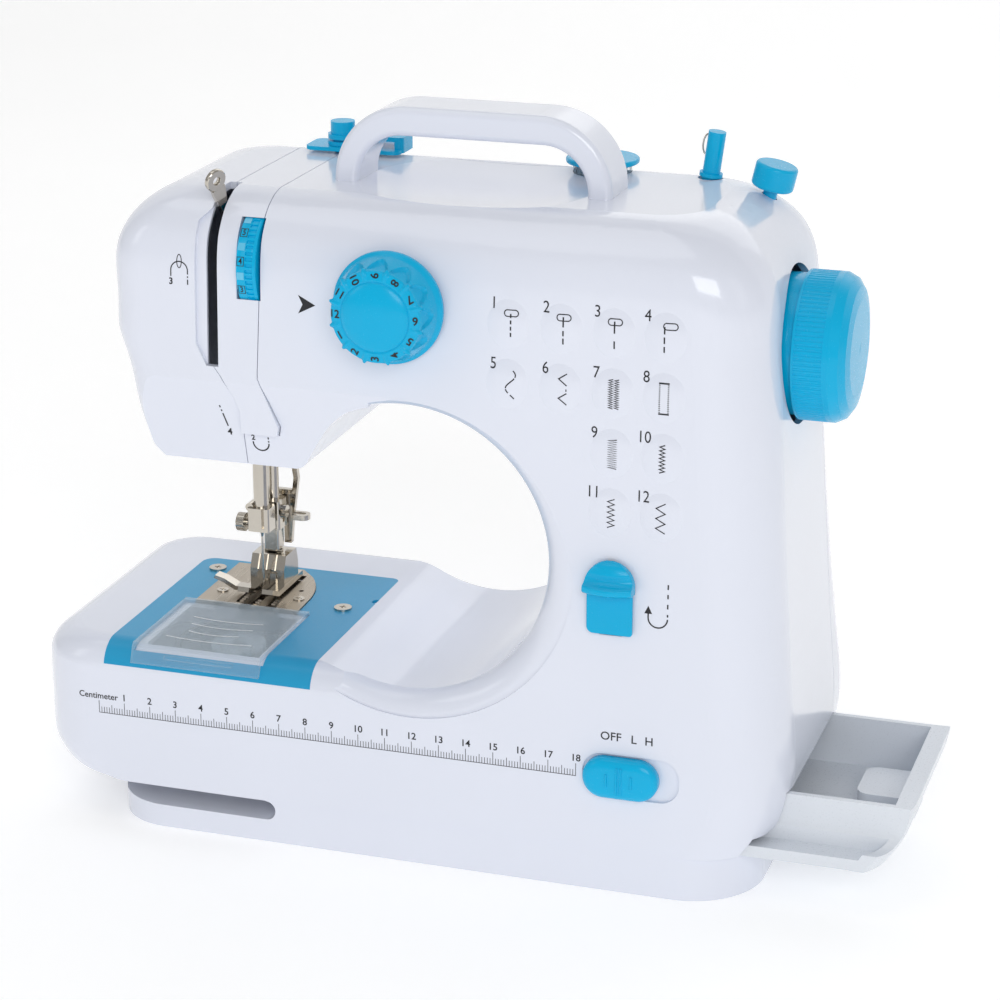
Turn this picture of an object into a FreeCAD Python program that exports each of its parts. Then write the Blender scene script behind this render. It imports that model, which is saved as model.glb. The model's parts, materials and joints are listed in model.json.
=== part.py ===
import FreeCAD, Part
import math
import os

V = FreeCAD.Vector
os.makedirs("parts", exist_ok=True)

# Portable household sewing machine, millimetres.
# +X points to the hand wheel, +Y to the back, +Z up.
# The origin is the middle of the base's footprint, on the surface that the machine stands on.

# ---------------------------------------------------------------- driving dimensions
WALL = 2.6                  # casing wall
SEAM_Z = 16.2               # underside of the casing, on top of the base cover
BASE_TOP = 16.0
BED_LEFT = -144.0
BED_TOP = 69.4
ARM_TOP = 235.5
HEAD_BOTTOM = 140.0
FRONT_Y = -61.0
BACK_Y = 62.5
FRONT_CROWN = 3395.0        # radius of the front face, which leans back a little towards the top
CROWN_Z = 40.0
PILLAR_CORNER = 24.0
SEAM_GAP = 0.15             # half of the gap between casing parts
REAR_SPLIT_Y = 27.0

THROAT_X, THROAT_Z, THROAT_R = -1.9, 116.0, 52.0
FLARE_X, FLARE_Z, FLARE_R = 1.6, 115.3, 59.3
BED_BLEND_R = 60.0          # where the flat bed runs down into the throat

NEEDLE_X, NEEDLE_Y = -77.5, 0.2
NEEDLE_TIP_Z = 72.0
PRESSER_Y = 11.2
SHAFT_Y, SHAFT_Z = -6.0, 187.5
SHAFT_R = 3.5
RUNNING = 0.05              # radial clearance of a shaft in its bearing
CRANK_R = 13.0
HOOK_Y = -24.8
HOOK_SHAFT_Z = 32.0         # height of the lower shaft, which drives the hook
WHEEL_R = 25.7
DRAWER_OUT = 43.0           # how far the drawer stands open at rest
DIAL_X, DIAL_Z = -4.3, 203.3
DISH_X, DISH_Y, DISH_R, DISH_DEPTH = 11.0, -8.0, 42.0, 2.0


# ---------------------------------------------------------------- small helpers
def save(shape, name):
    shape = shape.removeSplitter() if len(shape.Solids) == 1 else shape
    solids = shape.Solids
    out = solids[0] if len(solids) == 1 else Part.makeCompound(solids)
    out.exportStep("parts/%s.step" % name)


def block(x0, x1, y0, y1, z0, z1):
    return Part.makeBox(x1 - x0, y1 - y0, z1 - z0, V(x0, y0, z0))


def rod_x(x0, x1, y, z, r):
    return Part.makeCylinder(r, x1 - x0, V(x0, y, z), V(1, 0, 0))


def rod_y(y0, y1, x, z, r):
    return Part.makeCylinder(r, y1 - y0, V(x, y0, z), V(0, 1, 0))


def rod_z(z0, z1, x, y, r):
    return Part.makeCylinder(r, z1 - z0, V(x, y, z0), V(0, 0, 1))


def rounded_block(x0, x1, y0, y1, z0, z1, r, along="z"):
    """A block whose four edges along one axis are rounded."""
    shape = block(x0, x1, y0, y1, z0, z1)
    edges = []
    for edge in shape.Edges:
        box = edge.BoundBox
        spans = {"x": box.XLength, "y": box.YLength, "z": box.ZLength}
        if spans[along] > 0.5 * sum(spans.values()):
            edges.append(edge)
    return shape.makeFillet(r, edges)


def soften(shape, r):
    """Round every edge if the kernel can, else keep the sharp shape."""
    try:
        out = shape.makeFillet(r, shape.Edges)
        if out.isValid() and out.Volume > 0.5 * shape.Volume:
            return out
    except Exception:
        pass
    return shape


def face_of(points, arcs=()):
    """A planar face through corner points; arcs maps an edge's index to the point it bends through."""
    bends = dict(arcs)
    edges = []
    for i, a in enumerate(points):
        b = points[(i + 1) % len(points)]
        if i in bends:
            edges.append(Part.Arc(a, bends[i], b).toShape())
        else:
            edges.append(Part.makeLine(a, b))
    return Part.Face(Part.Wire(edges))


def prism_y(xz, y0, y1, arcs=()):
    points = [V(x, y0, z) for x, z in xz]
    bends = [(i, V(x, y0, z)) for i, (x, z) in arcs]
    return face_of(points, bends).extrude(V(0, y1 - y0, 0))


def prism_x(yz, x0, x1, arcs=()):
    points = [V(x0, y, z) for y, z in yz]
    bends = [(i, V(x0, y, z)) for i, (y, z) in arcs]
    return face_of(points, bends).extrude(V(x1 - x0, 0, 0))


def prism_z(xy, z0, z1, arcs=()):
    points = [V(x, y, z0) for x, y in xy]
    bends = [(i, V(x, y, z0)) for i, (x, y) in arcs]
    return face_of(points, bends).extrude(V(0, 0, z1 - z0))


def turned(profile, base, axis):
    """Revolve (radius, height) points about an axis through base."""
    points = [V(r, 0, h) for r, h in profile]
    shape = face_of(points).revolve(V(0, 0, 0), V(0, 0, 1), 360)
    shape.Placement = FreeCAD.Placement(base, FreeCAD.Rotation(V(0, 0, 1), axis))
    return shape


def between(x, table):
    """Smooth interpolation in a short table of measured wall positions."""
    curve = Part.BSplineCurve()
    curve.interpolate([V(a, b, 0) for a, b in table])
    low, high = curve.FirstParameter, curve.LastParameter
    for _ in range(40):
        mid = 0.5 * (low + high)
        if curve.value(mid).x < x:
            low = mid
        else:
            high = mid
    return curve.value(0.5 * (low + high)).y


# ---------------------------------------------------------------- casing: outer form
RIGHT_WALL = [(10.0, 121.5), (16.2, 125.0), (24, 130.0), (34, 133.4), (45, 134.5), (66, 133.2), (88, 131.3),
              (133, 128.0), (175, 125.2), (205, 123.0), (240, 121.0)]
BACK_WALL = [(10.0, 62.5), (30, 62.4), (46, 61.3), (69, 58.4), (88, 55.4), (133, 50.6), (180, 49.0),
             (240, 48.6)]
HEAD_LEFT = [(60, -118), (90, -99.5), (125, -90.5), (134, -89.8), (139, -91.5), (142, -94.6), (146, -97.4),
             (152, -99.6), (162, -102.6), (175, -106.2), (192, -108.8), (210, -109.8), (240, -112.0)]


def rounding(z, top, r):
    """How far a wall has drawn in at height z below a rounded top edge."""
    h = min(max(z - (top - r), 0.0), r)
    return r - math.sqrt(max(r * r - h * h, 0.0))


def front_at(z):
    return FRONT_Y + FRONT_CROWN - math.sqrt(FRONT_CROWN ** 2 - (z - CROWN_Z) ** 2)


def plan_section(z, inset):
    """One closed rounded outline of the casing at height z, drawn in by inset."""
    top = ARM_TOP - inset
    r_right, r_left, r_front, r_back = 27 - inset, 28 - inset, 22 - inset, 24 - inset
    right = between(z, RIGHT_WALL) - inset - rounding(z, top, r_right)
    if z < 70:
        left = BED_LEFT + inset
        low_r = 16.0
        rise = max(SEAM_Z + low_r - z, 0.0)
        left += low_r - math.sqrt(max(low_r ** 2 - min(rise, low_r) ** 2, 0.0))
    else:
        left = between(z, HEAD_LEFT) + inset + rounding(z, top, r_left)
    front = front_at(z) + inset + rounding(z, top, r_front)
    back = between(z, BACK_WALL) - inset - rounding(z, top, r_back)
    mix = min(max((z - 70) / 50.0, 0.0), 1.0)
    shrink = 0.35 * rounding(z, top, 20 - inset)
    r_fr = PILLAR_CORNER - inset - shrink
    r_br = 25 - inset - shrink
    r_fl = 22 * (1 - mix) + 13 * mix - inset * 0.9 - 0.3 * shrink
    r_bl = 15 * (1 - mix) + 14 * mix - inset * 0.9 - 0.3 * shrink
    k = math.sqrt(0.5)
    pts = [
        V(left + r_fl, front, z), V(right - r_fr, front, z),
        V(right, front + r_fr, z), V(right, back - r_br, z),
        V(right - r_br, back, z), V(left + r_bl, back, z),
        V(left, back - r_bl, z), V(left, front + r_fl, z),
    ]
    mids = {
        1: V(right - r_fr * (1 - k), front + r_fr * (1 - k), z),
        3: V(right - r_br * (1 - k), back - r_br * (1 - k), z),
        5: V(left + r_bl * (1 - k), back - r_bl * (1 - k), z),
        7: V(left + r_fl * (1 - k), front + r_fl * (1 - k), z),
    }
    edges = []
    for i in range(8):
        a, b = pts[i], pts[(i + 1) % 8]
        edges.append(Part.Arc(a, mids[i], b).toShape() if i in mids else Part.makeLine(a, b))
    return Part.Wire(edges)


def envelope(inset, bottom):
    """The whole casing as one rounded block, before the throat is cut."""
    top = ARM_TOP - inset
    heights = [bottom - 6, bottom - 3, bottom, 18.5, 21.5, 25.5, 30, 34, 40, 48, 57, 64, 69.5, 90, 112, 128]
    heights += [135, 139, 142, 146, 152, 162, 180, 196]
    heights += [top - 35 * (1 - math.sin(math.radians(a))) for a in (20, 32, 44, 55, 65, 73, 80, 85)]
    heights += [top - 0.04]
    wires = [plan_section(z, inset) for z in heights]
    block_out = upright(Part.makeLoft(wires, True, False))
    return block_out.cut(block(-200, 200, -100, 100, bottom - 40, bottom))


def throat_cutter(grow):
    """The space under the arm: flat over the bed, round at the pillar, with a hook-shaped end at the head."""
    r = THROAT_R + grow
    bed = BED_TOP - grow
    head = HEAD_BOTTOM + grow
    blend = BED_BLEND_R - grow
    rise = THROAT_Z - (bed - blend)
    run = math.sqrt((r + blend) ** 2 - rise ** 2)
    blend_x, blend_z = THROAT_X - run, bed - blend
    k = r / (r + blend)
    touch = V(THROAT_X - run * k, -90, THROAT_Z - rise * k)
    half = math.radians(90) - 0.5 * math.atan2(run, rise)
    blend_mid = V(blend_x + blend * math.cos(half), -90, blend_z + blend * math.sin(half))
    start = math.radians(105.8)
    arch_end = V(THROAT_X + r * math.cos(start), -90, THROAT_Z + r * math.sin(start))
    far = -170.0
    hook = Part.BSplineCurve()
    hook.interpolate(Points=[arch_end, V(-25.0 - 0.5 * grow, -90, 161.2 + 0.9 * grow),
                             V(-32.2 - 0.8 * grow, -90, 152.4 + 0.6 * grow),
                             V(-37.6 - 0.8 * grow, -90, 143.6 + 0.6 * grow), V(-43.0, -90, head)],
                     InitialTangent=V(-0.962, 0, -0.272), FinalTangent=V(-1, 0, 0))
    edges = [
        Part.makeLine(V(far, -90, bed), V(blend_x, -90, bed)),
        Part.Arc(V(blend_x, -90, bed), blend_mid, touch).toShape(),
        Part.Arc(touch, V(THROAT_X + r, -90, THROAT_Z), arch_end).toShape(),
        hook.toShape(),
        Part.makeLine(V(-43.0, -90, head), V(far, -90, head)),
        Part.makeLine(V(far, -90, head), V(far, -90, bed)),
    ]
    return Part.Face(Part.Wire(edges)).extrude(V(0, 180, 0))


def flare(grow, face_y, side):
    """The trumpet that rounds the throat's edge; side is -1 at the front and +1 at the back."""
    depth = 9.0
    rings = []
    for step in range(7):
        angle = math.radians(15.0 * step)
        mix = 1 - math.sin(angle)
        y = face_y - side * depth * (1 - math.cos(angle)) - side * grow
        x = THROAT_X + (FLARE_X - THROAT_X) * mix
        z = THROAT_Z + (FLARE_Z - THROAT_Z) * mix
        r = THROAT_R - 0.25 + grow + (FLARE_R - THROAT_R + 0.25) * mix
        rings.append(Part.Wire(Part.makeCircle(r, V(x, y, z), V(0, 1, 0))))
    mouth = Part.Wire(Part.makeCircle(FLARE_R + grow, V(FLARE_X, face_y + side * 8, FLARE_Z), V(0, 1, 0)))
    horn = upright(Part.makeLoft(rings, True, False))
    cap = upright(Part.makeLoft([mouth, rings[0]], True, True))
    low_half = block(-45, 120, -120, 120, 0, THROAT_Z)
    high_half = block(-13, 120, -120, 120, THROAT_Z - 1, 240)
    return horn.fuse(cap).common(low_half.fuse(high_half))


def bed_rounding(grow):
    """What is taken off the bed's top edges: front and left well rounded, back a little."""
    over = 0.03
    r_front, r_left, r_back = 10.0 - 0.5 * grow, 10.0 - 0.5 * grow, 4.0 - 0.5 * grow
    top = BED_TOP - grow
    low = top - r_front
    wires = []
    right = -4.0
    k = math.sqrt(0.5)
    for step in range(9):
        z = top - r_front * (1 - math.sin(math.radians(11.2 * step)))
        left = BED_LEFT + grow + rounding(z, top, r_left) - over
        front = front_at(z) + grow + rounding(z, top, r_front) - over
        back = between(z, BACK_WALL) - grow - rounding(z, top, r_back) + over
        r_f = 22 - 0.9 * grow - 0.5 * rounding(z, top, r_front)
        r_b = 15 - 0.9 * grow - 0.5 * rounding(z, top, r_back)
        p = [V(left + r_f, front, z), V(60, front, z), V(60, back, z), V(left + r_b, back, z),
             V(left, back - r_b, z), V(left, front + r_f, z)]
        m3 = V(left + r_b * (1 - k), back - r_b * (1 - k), z)
        m5 = V(left + r_f * (1 - k), front + r_f * (1 - k), z)
        edges = [Part.makeLine(p[0], p[1]), Part.makeLine(p[1], p[2]), Part.makeLine(p[2], p[3]),
                 Part.Arc(p[3], m3, p[4]).toShape(), Part.makeLine(p[4], p[5]),
                 Part.Arc(p[5], m5, p[0]).toShape()]
        wires.append(Part.Wire(edges))
    pillow = upright(Part.makeLoft(wires, True, False))
    slab = block(-170, right, -90, 90, low + 0.01, top + 2)
    return slab.cut(pillow)


def upright(shape):
    """A solid whose faces point outwards."""
    return shape.reversed() if shape.Volume < 0 else shape


def dish(inset):
    """The shallow hollow in the top that leaves room for fingers under the handle."""
    r = (DISH_R ** 2 + DISH_DEPTH ** 2) / (2 * DISH_DEPTH)
    return Part.makeSphere(r + inset, V(DISH_X, DISH_Y, ARM_TOP - DISH_DEPTH + r))


def casing_solid(inset, bottom=SEAM_Z, brow_lean=13.0):
    """The casing's outer form, or a smaller copy of it for the hollow."""
    shape = envelope(inset, bottom)
    for tool in (bed_rounding(inset), throat_cutter(inset), flare(inset, front_at(THROAT_Z), -1),
                 flare(inset, between(112.0, BACK_WALL) + 2.5, 1), dish(inset)):
        shape = shape.cut(upright(tool))
    # below this line the head's front face leans back
    brow_z, brow_right, lean = 171.3, -6.0, math.radians(brow_lean)
    y = front_at(brow_z) + inset
    drop = 50.0
    low_y = y + drop * math.tan(lean)
    recess = prism_x([(y - 30, brow_z), (y, brow_z), (low_y, brow_z - drop), (y - 30, brow_z - drop)],
                     -150, brow_right)
    return shape.cut(recess)



# ---------------------------------------------------------------- casing: parting lines and openings
HEAD_SPLIT = [(-69.5, 260), (-69.5, 177), (-66.8, 173.5), (-62.2, 165.6), (-60.4, 161), (-60.2, 120)]
STRIP_SPLIT = [(-52.0, 260), (-52.0, 201), (-53.0, 173.6), (-49.9, 166), (-46.2, 156), (-47.0, 152.5)]
SLOT_LEFT, SLOT_RIGHT, SLOT_LOW = -71.8, -67.3, 176.5
DRAWER_TOP = 38.0
DRAWER_BACK = 31.0
DRAWER_FRONT = -43.5
LEDGE_Y = -52.5
LEDGE_Z = 23.0
DIAL_WHEEL_Y, DIAL_WHEEL_Z, DIAL_WHEEL_R = -40.1, 211.0, 19.5
WHEEL_WINDOW = (-60.2, -51.4)
REVERSE_X = 74.2
SWITCH_X, SWITCH_Z = 79.0, 44.1
PLATE_X = (-115.0, -35.3)
PLATE_BACK = 33.8
PLATE_LOW = 61.6
COVER_X = (-104.0, -54.6)
COVER_BACK = -11.5
NEEDLE_PLATE_X = (-100.3, -60.0)


def head_side(shift):
    """Everything to the left of the head cover's parting line."""
    line = [(x + shift, z) for x, z in HEAD_SPLIT]
    return prism_y(line + [(-180, 120), (-180, 260)], -90, 90)


def strip_side(shift):
    """Everything between the head cover and the right edge of the thread strip."""
    right = [(x + shift, z) for x, z in STRIP_SPLIT]
    left = [(x, z) for x, z in reversed(HEAD_SPLIT[:-1])]
    left = [(HEAD_SPLIT[-2][0], 152.5 - shift)] + left
    right[-1] = (right[-1][0], 152.5 - shift)
    return prism_y(right + left, -90, 90)


def drawer_section(grow, x0, x1):
    """The outline that the drawer's end panel fills in the casing's lower right corner."""
    top, back = DRAWER_TOP + grow, DRAWER_BACK + grow
    front, ledge_y, ledge_z = DRAWER_FRONT - grow, LEDGE_Y - grow, LEDGE_Z + grow
    low = SEAM_Z + 0.2 - 3 * grow
    bend_r = 6.0
    k = bend_r * (1 - math.sqrt(0.5))
    points = [(ledge_y, low), (back, low), (back, top), (front, top), (front, ledge_z + bend_r),
              (front - bend_r, ledge_z), (ledge_y, ledge_z)]
    return prism_x(points, x0, x1, [(4, (front - k, ledge_z + k))])


outer = casing_solid(0)
hollow = casing_solid(WALL)
skin = outer.cut(hollow)
back_l, back_r = 5.0, 3.0     # rounded rear corners of the bed plate
k = 1 - math.sqrt(0.5)
plate_zone = prism_z(
    [(PLATE_X[0], -80), (PLATE_X[1], -80), (PLATE_X[1], PLATE_BACK - back_r),
     (PLATE_X[1] - back_r, PLATE_BACK), (PLATE_X[0] + back_l, PLATE_BACK), (PLATE_X[0], PLATE_BACK - back_l)],
    PLATE_LOW, 90,
    [(2, (PLATE_X[1] - back_r * k, PLATE_BACK - back_r * k)),
     (4, (PLATE_X[0] + back_l * k, PLATE_BACK - back_l * k))])
plate_depth = 1.1
under_plate = casing_solid(plate_depth)
plate_skin = outer.common(plate_zone).cut(under_plate)

openings = [
    # hole for the hand wheel
    rod_x(112, 140, SHAFT_Y, SHAFT_Z, WHEEL_R + 1.6),
    # drawer opening
    drawer_section(0.35, 96, 150),
    # bobbin bay under the clear cover, and the room for the feed dog and the needle plate
    block(COVER_X[0] + 3, COVER_X[1] - 3, -53, COVER_BACK + 0.2, 60, 80),
    block(-93, -67, COVER_BACK, 28, 60, 80),
    # needle bar, presser bar and lamp, in the underside of the head
    rounded_block(-86.5, -67.5, -7, 25, 130, 150, 4),
    rounded_block(-56.3, -45.7, -36.3, -23.7, 130, 150, 2),
    # slot of the take-up lever
    block(SLOT_LEFT, SLOT_RIGHT, -90, -32, SLOT_LOW, 250),
    # window of the tension wheel
    rod_x(WHEEL_WINDOW[0], WHEEL_WINDOW[1], DIAL_WHEEL_Y, DIAL_WHEEL_Z, DIAL_WHEEL_R + 0.35),
    # reverse lever and power slider
    rounded_block(REVERSE_X - 4.2, REVERSE_X + 4.2, -90, -45, 95.6, 116.6, 0.6, "y"),
    rounded_block(SWITCH_X - 5.5, SWITCH_X + 11.8, -90, -45, SWITCH_Z - 3.4, SWITCH_Z + 3.4, 0.6, "y"),
    rounded_block(65.0, 99.3, -90, front_at(SWITCH_Z) + 1.1, SWITCH_Z - 8.0, SWITCH_Z + 8.0, 7.0, "y"),
    # spindle of the pattern dial
    rod_y(-90, -45, DIAL_X, DIAL_Z, 6.2),
    # inlets at the back
    rod_y(40, 70, 100, 40, 5.6),
    rod_y(40, 70, 82, 40, 4.1),
]
for tool in openings:
    skin = skin.cut(tool)
skin = skin.cut(plate_skin)

rear_zone = block(57, 180, REAR_SPLIT_Y, 90, 0, 260)
rear_zone = rear_zone.fuse(block(-69.35, 60, REAR_SPLIT_Y, 90, 100, 260)).removeSplitter()
front_zone = block(-69.35, 180, -90, REAR_SPLIT_Y - 2 * SEAM_GAP, 0, 260)
front_zone = front_zone.fuse(block(-180, 57 - 2 * SEAM_GAP, -90, 90, 0, 100))
head_cover = skin.common(head_side(-SEAM_GAP))
# the strip's lower part leans back less than the head beside it
strip_skin = casing_solid(0, SEAM_Z, 6.0).cut(hollow)
for tool in openings:
    strip_skin = strip_skin.cut(tool)
thread_strip = strip_skin.common(strip_side(-SEAM_GAP)).common(
    block(-75, -40, -90, REAR_SPLIT_Y - 2 * SEAM_GAP, 150, 260))
# a ledge runs down the left side of the take-up slot
inner = casing_solid(1.4)
ledge = prism_y([(-75.6, 226), (-75.6, 184), (SLOT_LEFT + 0.1, SLOT_LOW), (SLOT_LEFT + 0.1, 230)], -90, -36)
head_cover = head_cover.cut(ledge.common(outer.cut(inner)))
rear_shell = skin.common(rear_zone)
front_shell = skin.common(front_zone)
front_shell = front_shell.cut(head_side(SEAM_GAP)).cut(strip_side(SEAM_GAP))
rear_shell = rear_shell.cut(head_side(SEAM_GAP))
thread_strip = thread_strip.cut(head_side(SEAM_GAP)).common(block(-80, -40, -90, 90, 152.7, 260))


# ---------------------------------------------------------------- raised ovals behind the stitch symbols
OVAL_COLUMNS = [36.8, 55.2, 73.3, 90.8]
OVAL_ROWS = [200.5, 180.0, 159.5, 139.0]


def oval(x, z):
    dome = Part.makeSphere(10.0)
    squash = FreeCAD.Matrix()
    squash.scale(0.86, 0.16, 1.0)
    dome = dome.transformGeometry(squash)
    lean = math.degrees(math.asin((z - CROWN_Z) / FRONT_CROWN))
    dome.Placement = FreeCAD.Placement(V(x, front_at(z) + 0.85, z), FreeCAD.Rotation(V(1, 0, 0), -lean))
    return dome.common(block(x - 15, x + 15, front_at(z) - 10, front_at(z) + 1.6, z - 15, z + 15))


for row, z in enumerate(OVAL_ROWS):
    for x in OVAL_COLUMNS[0 if row < 2 else 2:]:
        front_shell = front_shell.fuse(oval(x, z))

save(head_cover, "head_cover")


# ---------------------------------------------------------------- base
def base_plan(inset, z0, z1):
    left, right, front, back = -116.0 + inset, 124.0 - inset, -60.5 + inset, 61.5 - inset
    r_left, r_right = 22 - inset, 27 - inset
    k = math.sqrt(0.5)
    points = [(left + r_left, front), (right - r_right, front), (right, front + r_right),
              (right, back - r_right), (right - r_right, back), (left + r_left, back), (left, back - r_left), (left, front + r_left)]
    arcs = [(1, (right - r_right * (1 - k), front + r_right * (1 - k))),
            (3, (right - r_right * (1 - k), back - r_right * (1 - k))),
            (5, (left + r_left * (1 - k), back - r_left * (1 - k))),
            (7, (left + r_left * (1 - k), front + r_left * (1 - k)))]
    return prism_z(points, z0, z1, arcs)


FOOT_PADS = [(-92, -38), (-92, 42), (98, -34), (98, 36)]
RECESS_END = -49.8
base = base_plan(0, 0, BASE_TOP)
room = base_plan(WALL, WALL, BASE_TOP + 5)
room = room.cut(block(-130, RECESS_END + 8, -70, -43, -1, 20))
room = room.cut(block(50, 115, -44, -41, WALL, BASE_TOP + 6)).cut(block(50, 115, 24, 27, WALL, BASE_TOP + 6))
for x, y in FOOT_PADS:
    room = room.cut(rod_z(0, 6, x, y, 10))
base = base.cut(room)
for x, y in FOOT_PADS:
    base = base.cut(rod_z(-1, 2, x, y, 7.1))
recess = block(-130, RECESS_END - 3.6, -70, -46, 8.6, BASE_TOP + 1)
recess = recess.fuse(rod_y(-70, -46, RECESS_END - 3.6, 12.2, 3.6))
recess = recess.fuse(block(-130, RECESS_END - 3.6, -70, -46, 12, 17))
base = base.cut(recess)
bed_posts = [(-60, 34), (20, 34), (20, -40), (-100, 34)]
for x, y in bed_posts:
    base = base.fuse(rod_z(WALL, 18.0, x, y, 4.0))
base = base.cut(drawer_section(0.3, 60, 150))
save(base, "base_cover")
save(Part.makeCompound([rod_z(0, 1.9, x, y, 6.9) for x, y in FOOT_PADS]), "rubber_pads")

# ---------------------------------------------------------------- handle
HANDLE_X = (-38.6, 61.0)
HANDLE_Y = (-19.5, 3.5)
HANDLE_TOP = 262.5
handle_leg = 8.6
x0, x1 = HANDLE_X
base_z = ARM_TOP - 1.5
corner = 26.0
k = corner * (1 - math.sqrt(0.5))
outline = [(x0, base_z), (x0, HANDLE_TOP - corner), (x0 + corner, HANDLE_TOP), (x1 - corner, HANDLE_TOP),
           (x1, HANDLE_TOP - corner), (x1, base_z)]
bar = prism_y(outline, HANDLE_Y[0], HANDLE_Y[1],
              [(1, (x0 + k, HANDLE_TOP - k)), (3, (x1 - k, HANDLE_TOP - k))])
under = HANDLE_TOP - 10.2
ir = 16.0
k = ir * (1 - math.sqrt(0.5))
inside = [(x0 + handle_leg, base_z - 1), (x0 + handle_leg, under - ir), (x0 + handle_leg + ir, under),
          (x1 - handle_leg - ir, under), (x1 - handle_leg, under - ir), (x1 - handle_leg, base_z - 1)]
gap = prism_y(inside, -60, 60, [(1, (x0 + handle_leg + k, under - k)), (3, (x1 - handle_leg - k, under - k))])
handle = bar.cut(gap)
long_edges = [e for e in handle.Edges if e.BoundBox.ZMax > ARM_TOP and e.BoundBox.YLength < 0.1
              and e.BoundBox.ZMin > base_z - 0.5 and e.BoundBox.XLength + e.BoundBox.ZLength > 5]
handle = handle.makeFillet(2.4, [e for e in long_edges if e.BoundBox.ZMin >= base_z - 0.1
                                 and not (abs(e.BoundBox.ZLength) < 0.1 and e.BoundBox.ZMax < ARM_TOP)])
save(handle, "carry_handle")
front_shell = front_shell.cut(handle)

# ---------------------------------------------------------------- bed: plates, feed dog, bobbin, hook


def needle_plate_form(grow, low, high):
    """The needle plate's outline: straight on the left, bulging on the right."""
    left, right = NEEDLE_PLATE_X[0] - grow, NEEDLE_PLATE_X[1] + grow
    points = [(left, COVER_BACK + 0.5 - 2 * grow), (right + 0.5, COVER_BACK + 0.5 - 2 * grow), (right, 3.0),
              (-67.5 + grow, 24.5), (-73.5 + 0.5 * grow, 30.8 + grow), (left, 30.8 + grow)]
    return prism_z(points, low, high, [(2, (-62.4 + grow, 14.6 + 0.5 * grow))])


cover_opening = block(COVER_X[0] - 0.3, COVER_X[1] + 0.3, -57.5, COVER_BACK + 0.3, 60.0, 90)
bed_plate = plate_skin.cut(needle_plate_form(0.15, 60, 80)).cut(cover_opening)
notch = rod_z(60, 80, PLATE_X[1], 8.5, 2.0)
bed_plate = bed_plate.cut(notch)
PLATE_SCREWS = [(-105.9, 23.0), (-45.0, -2.1)]
for x, y in PLATE_SCREWS:
    bed_plate = bed_plate.cut(rod_z(60, 80, x, y, 1.7))
    front_shell = front_shell.cut(rod_z(60, 80, x, y, 1.6))
save(bed_plate, "bed_plate")


def screw_z(x, y, top, head_r, head_h, shank_r, length):
    """A flat-headed screw standing in a hole along Z, with a cross slot."""
    head = rod_z(top - head_h, top, x, y, head_r)
    shank = rod_z(top - length, top - head_h, x, y, shank_r)
    for a, b in ((2.6, 0.5), (0.5, 2.6)):
        head = head.cut(block(x - a / 2, x + a / 2, y - b / 2, y + b / 2, top - 0.6 * head_h, top + 1))
    return head.fuse(shank)


screws = [screw_z(x, y, BED_TOP + 0.8, 3.3, 0.8, 1.4, 7.0) for x, y in PLATE_SCREWS]

plate_z = (BED_TOP - plate_depth, BED_TOP + 0.5)
needle_plate = needle_plate_form(0, plate_z[0], plate_z[1])
SLOTS_X = [NEEDLE_X - 6.3, NEEDLE_X, NEEDLE_X + 6.3]
for x in SLOTS_X:
    needle_plate = needle_plate.cut(block(x - 1.4, x + 1.4, -8.8, 24.5, 60, 80))
needle_plate = needle_plate.cut(rod_z(60, 80, NEEDLE_X, NEEDLE_Y, 1.8))
PLATE_PINS = [(-94.5, 1.1), (-63.8, 1.1)]
for x, y in PLATE_PINS:
    needle_plate = needle_plate.cut(rod_z(60, 80, x, y, 1.6))
    front_shell = front_shell.cut(rod_z(60, 80, x, y, 1.55))
needle_plate = needle_plate.cut(rod_z(60, 80, -66.0, 9.2, 0.9))
save(needle_plate, "needle_plate")
screws += [screw_z(x, y, plate_z[1] + 0.4, 2.2, 0.4, 1.4, 6.0) for x, y in PLATE_PINS]
save(Part.makeCompound(screws), "bed_screws")

dog_y = (-6.8, 21.2)
dog = block(NEEDLE_X - 8.2, NEEDLE_X + 8.2, dog_y[0], dog_y[1], 62.0, 65.5)
for x in SLOTS_X:
    dog = dog.fuse(block(x - 0.8, x + 0.8, dog_y[0], dog_y[1], 65.4, BED_TOP - 0.2))
    for n in range(13):
        y = dog_y[0] + 0.4 + 2.1 * n
        dog = dog.fuse(prism_x([(y, BED_TOP - 0.3), (y + 1.7, BED_TOP - 0.3), (y + 0.5, BED_TOP + 0.35)],
                               x - 0.8, x + 0.8))
dog = dog.cut(block(NEEDLE_X - 1.5, NEEDLE_X + 1.5, NEEDLE_Y - 3.2, NEEDLE_Y + 3.2, 60, 80))
save(dog, "feed_dog")

# clear cover: a flat plate with a lip that hangs in front of the bed plate's rounded edge
cover_z = (68.6, 70.6)
bobbin_cover = block(COVER_X[0], COVER_X[1], -59.0, COVER_BACK, cover_z[0], cover_z[1])
lip = prism_x([(-59.0, cover_z[1]), (-57.3, cover_z[1]), (-60.5, 63.6), (-61.8, 63.6)], COVER_X[0], COVER_X[1])
bobbin_cover = bobbin_cover.fuse(lip)
bobbin_cover = bobbin_cover.fuse(rod_x(COVER_X[0] + 13, COVER_X[1] - 10, -60.6, 66.8, 0.9))
save(bobbin_cover, "bobbin_cover")

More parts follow.
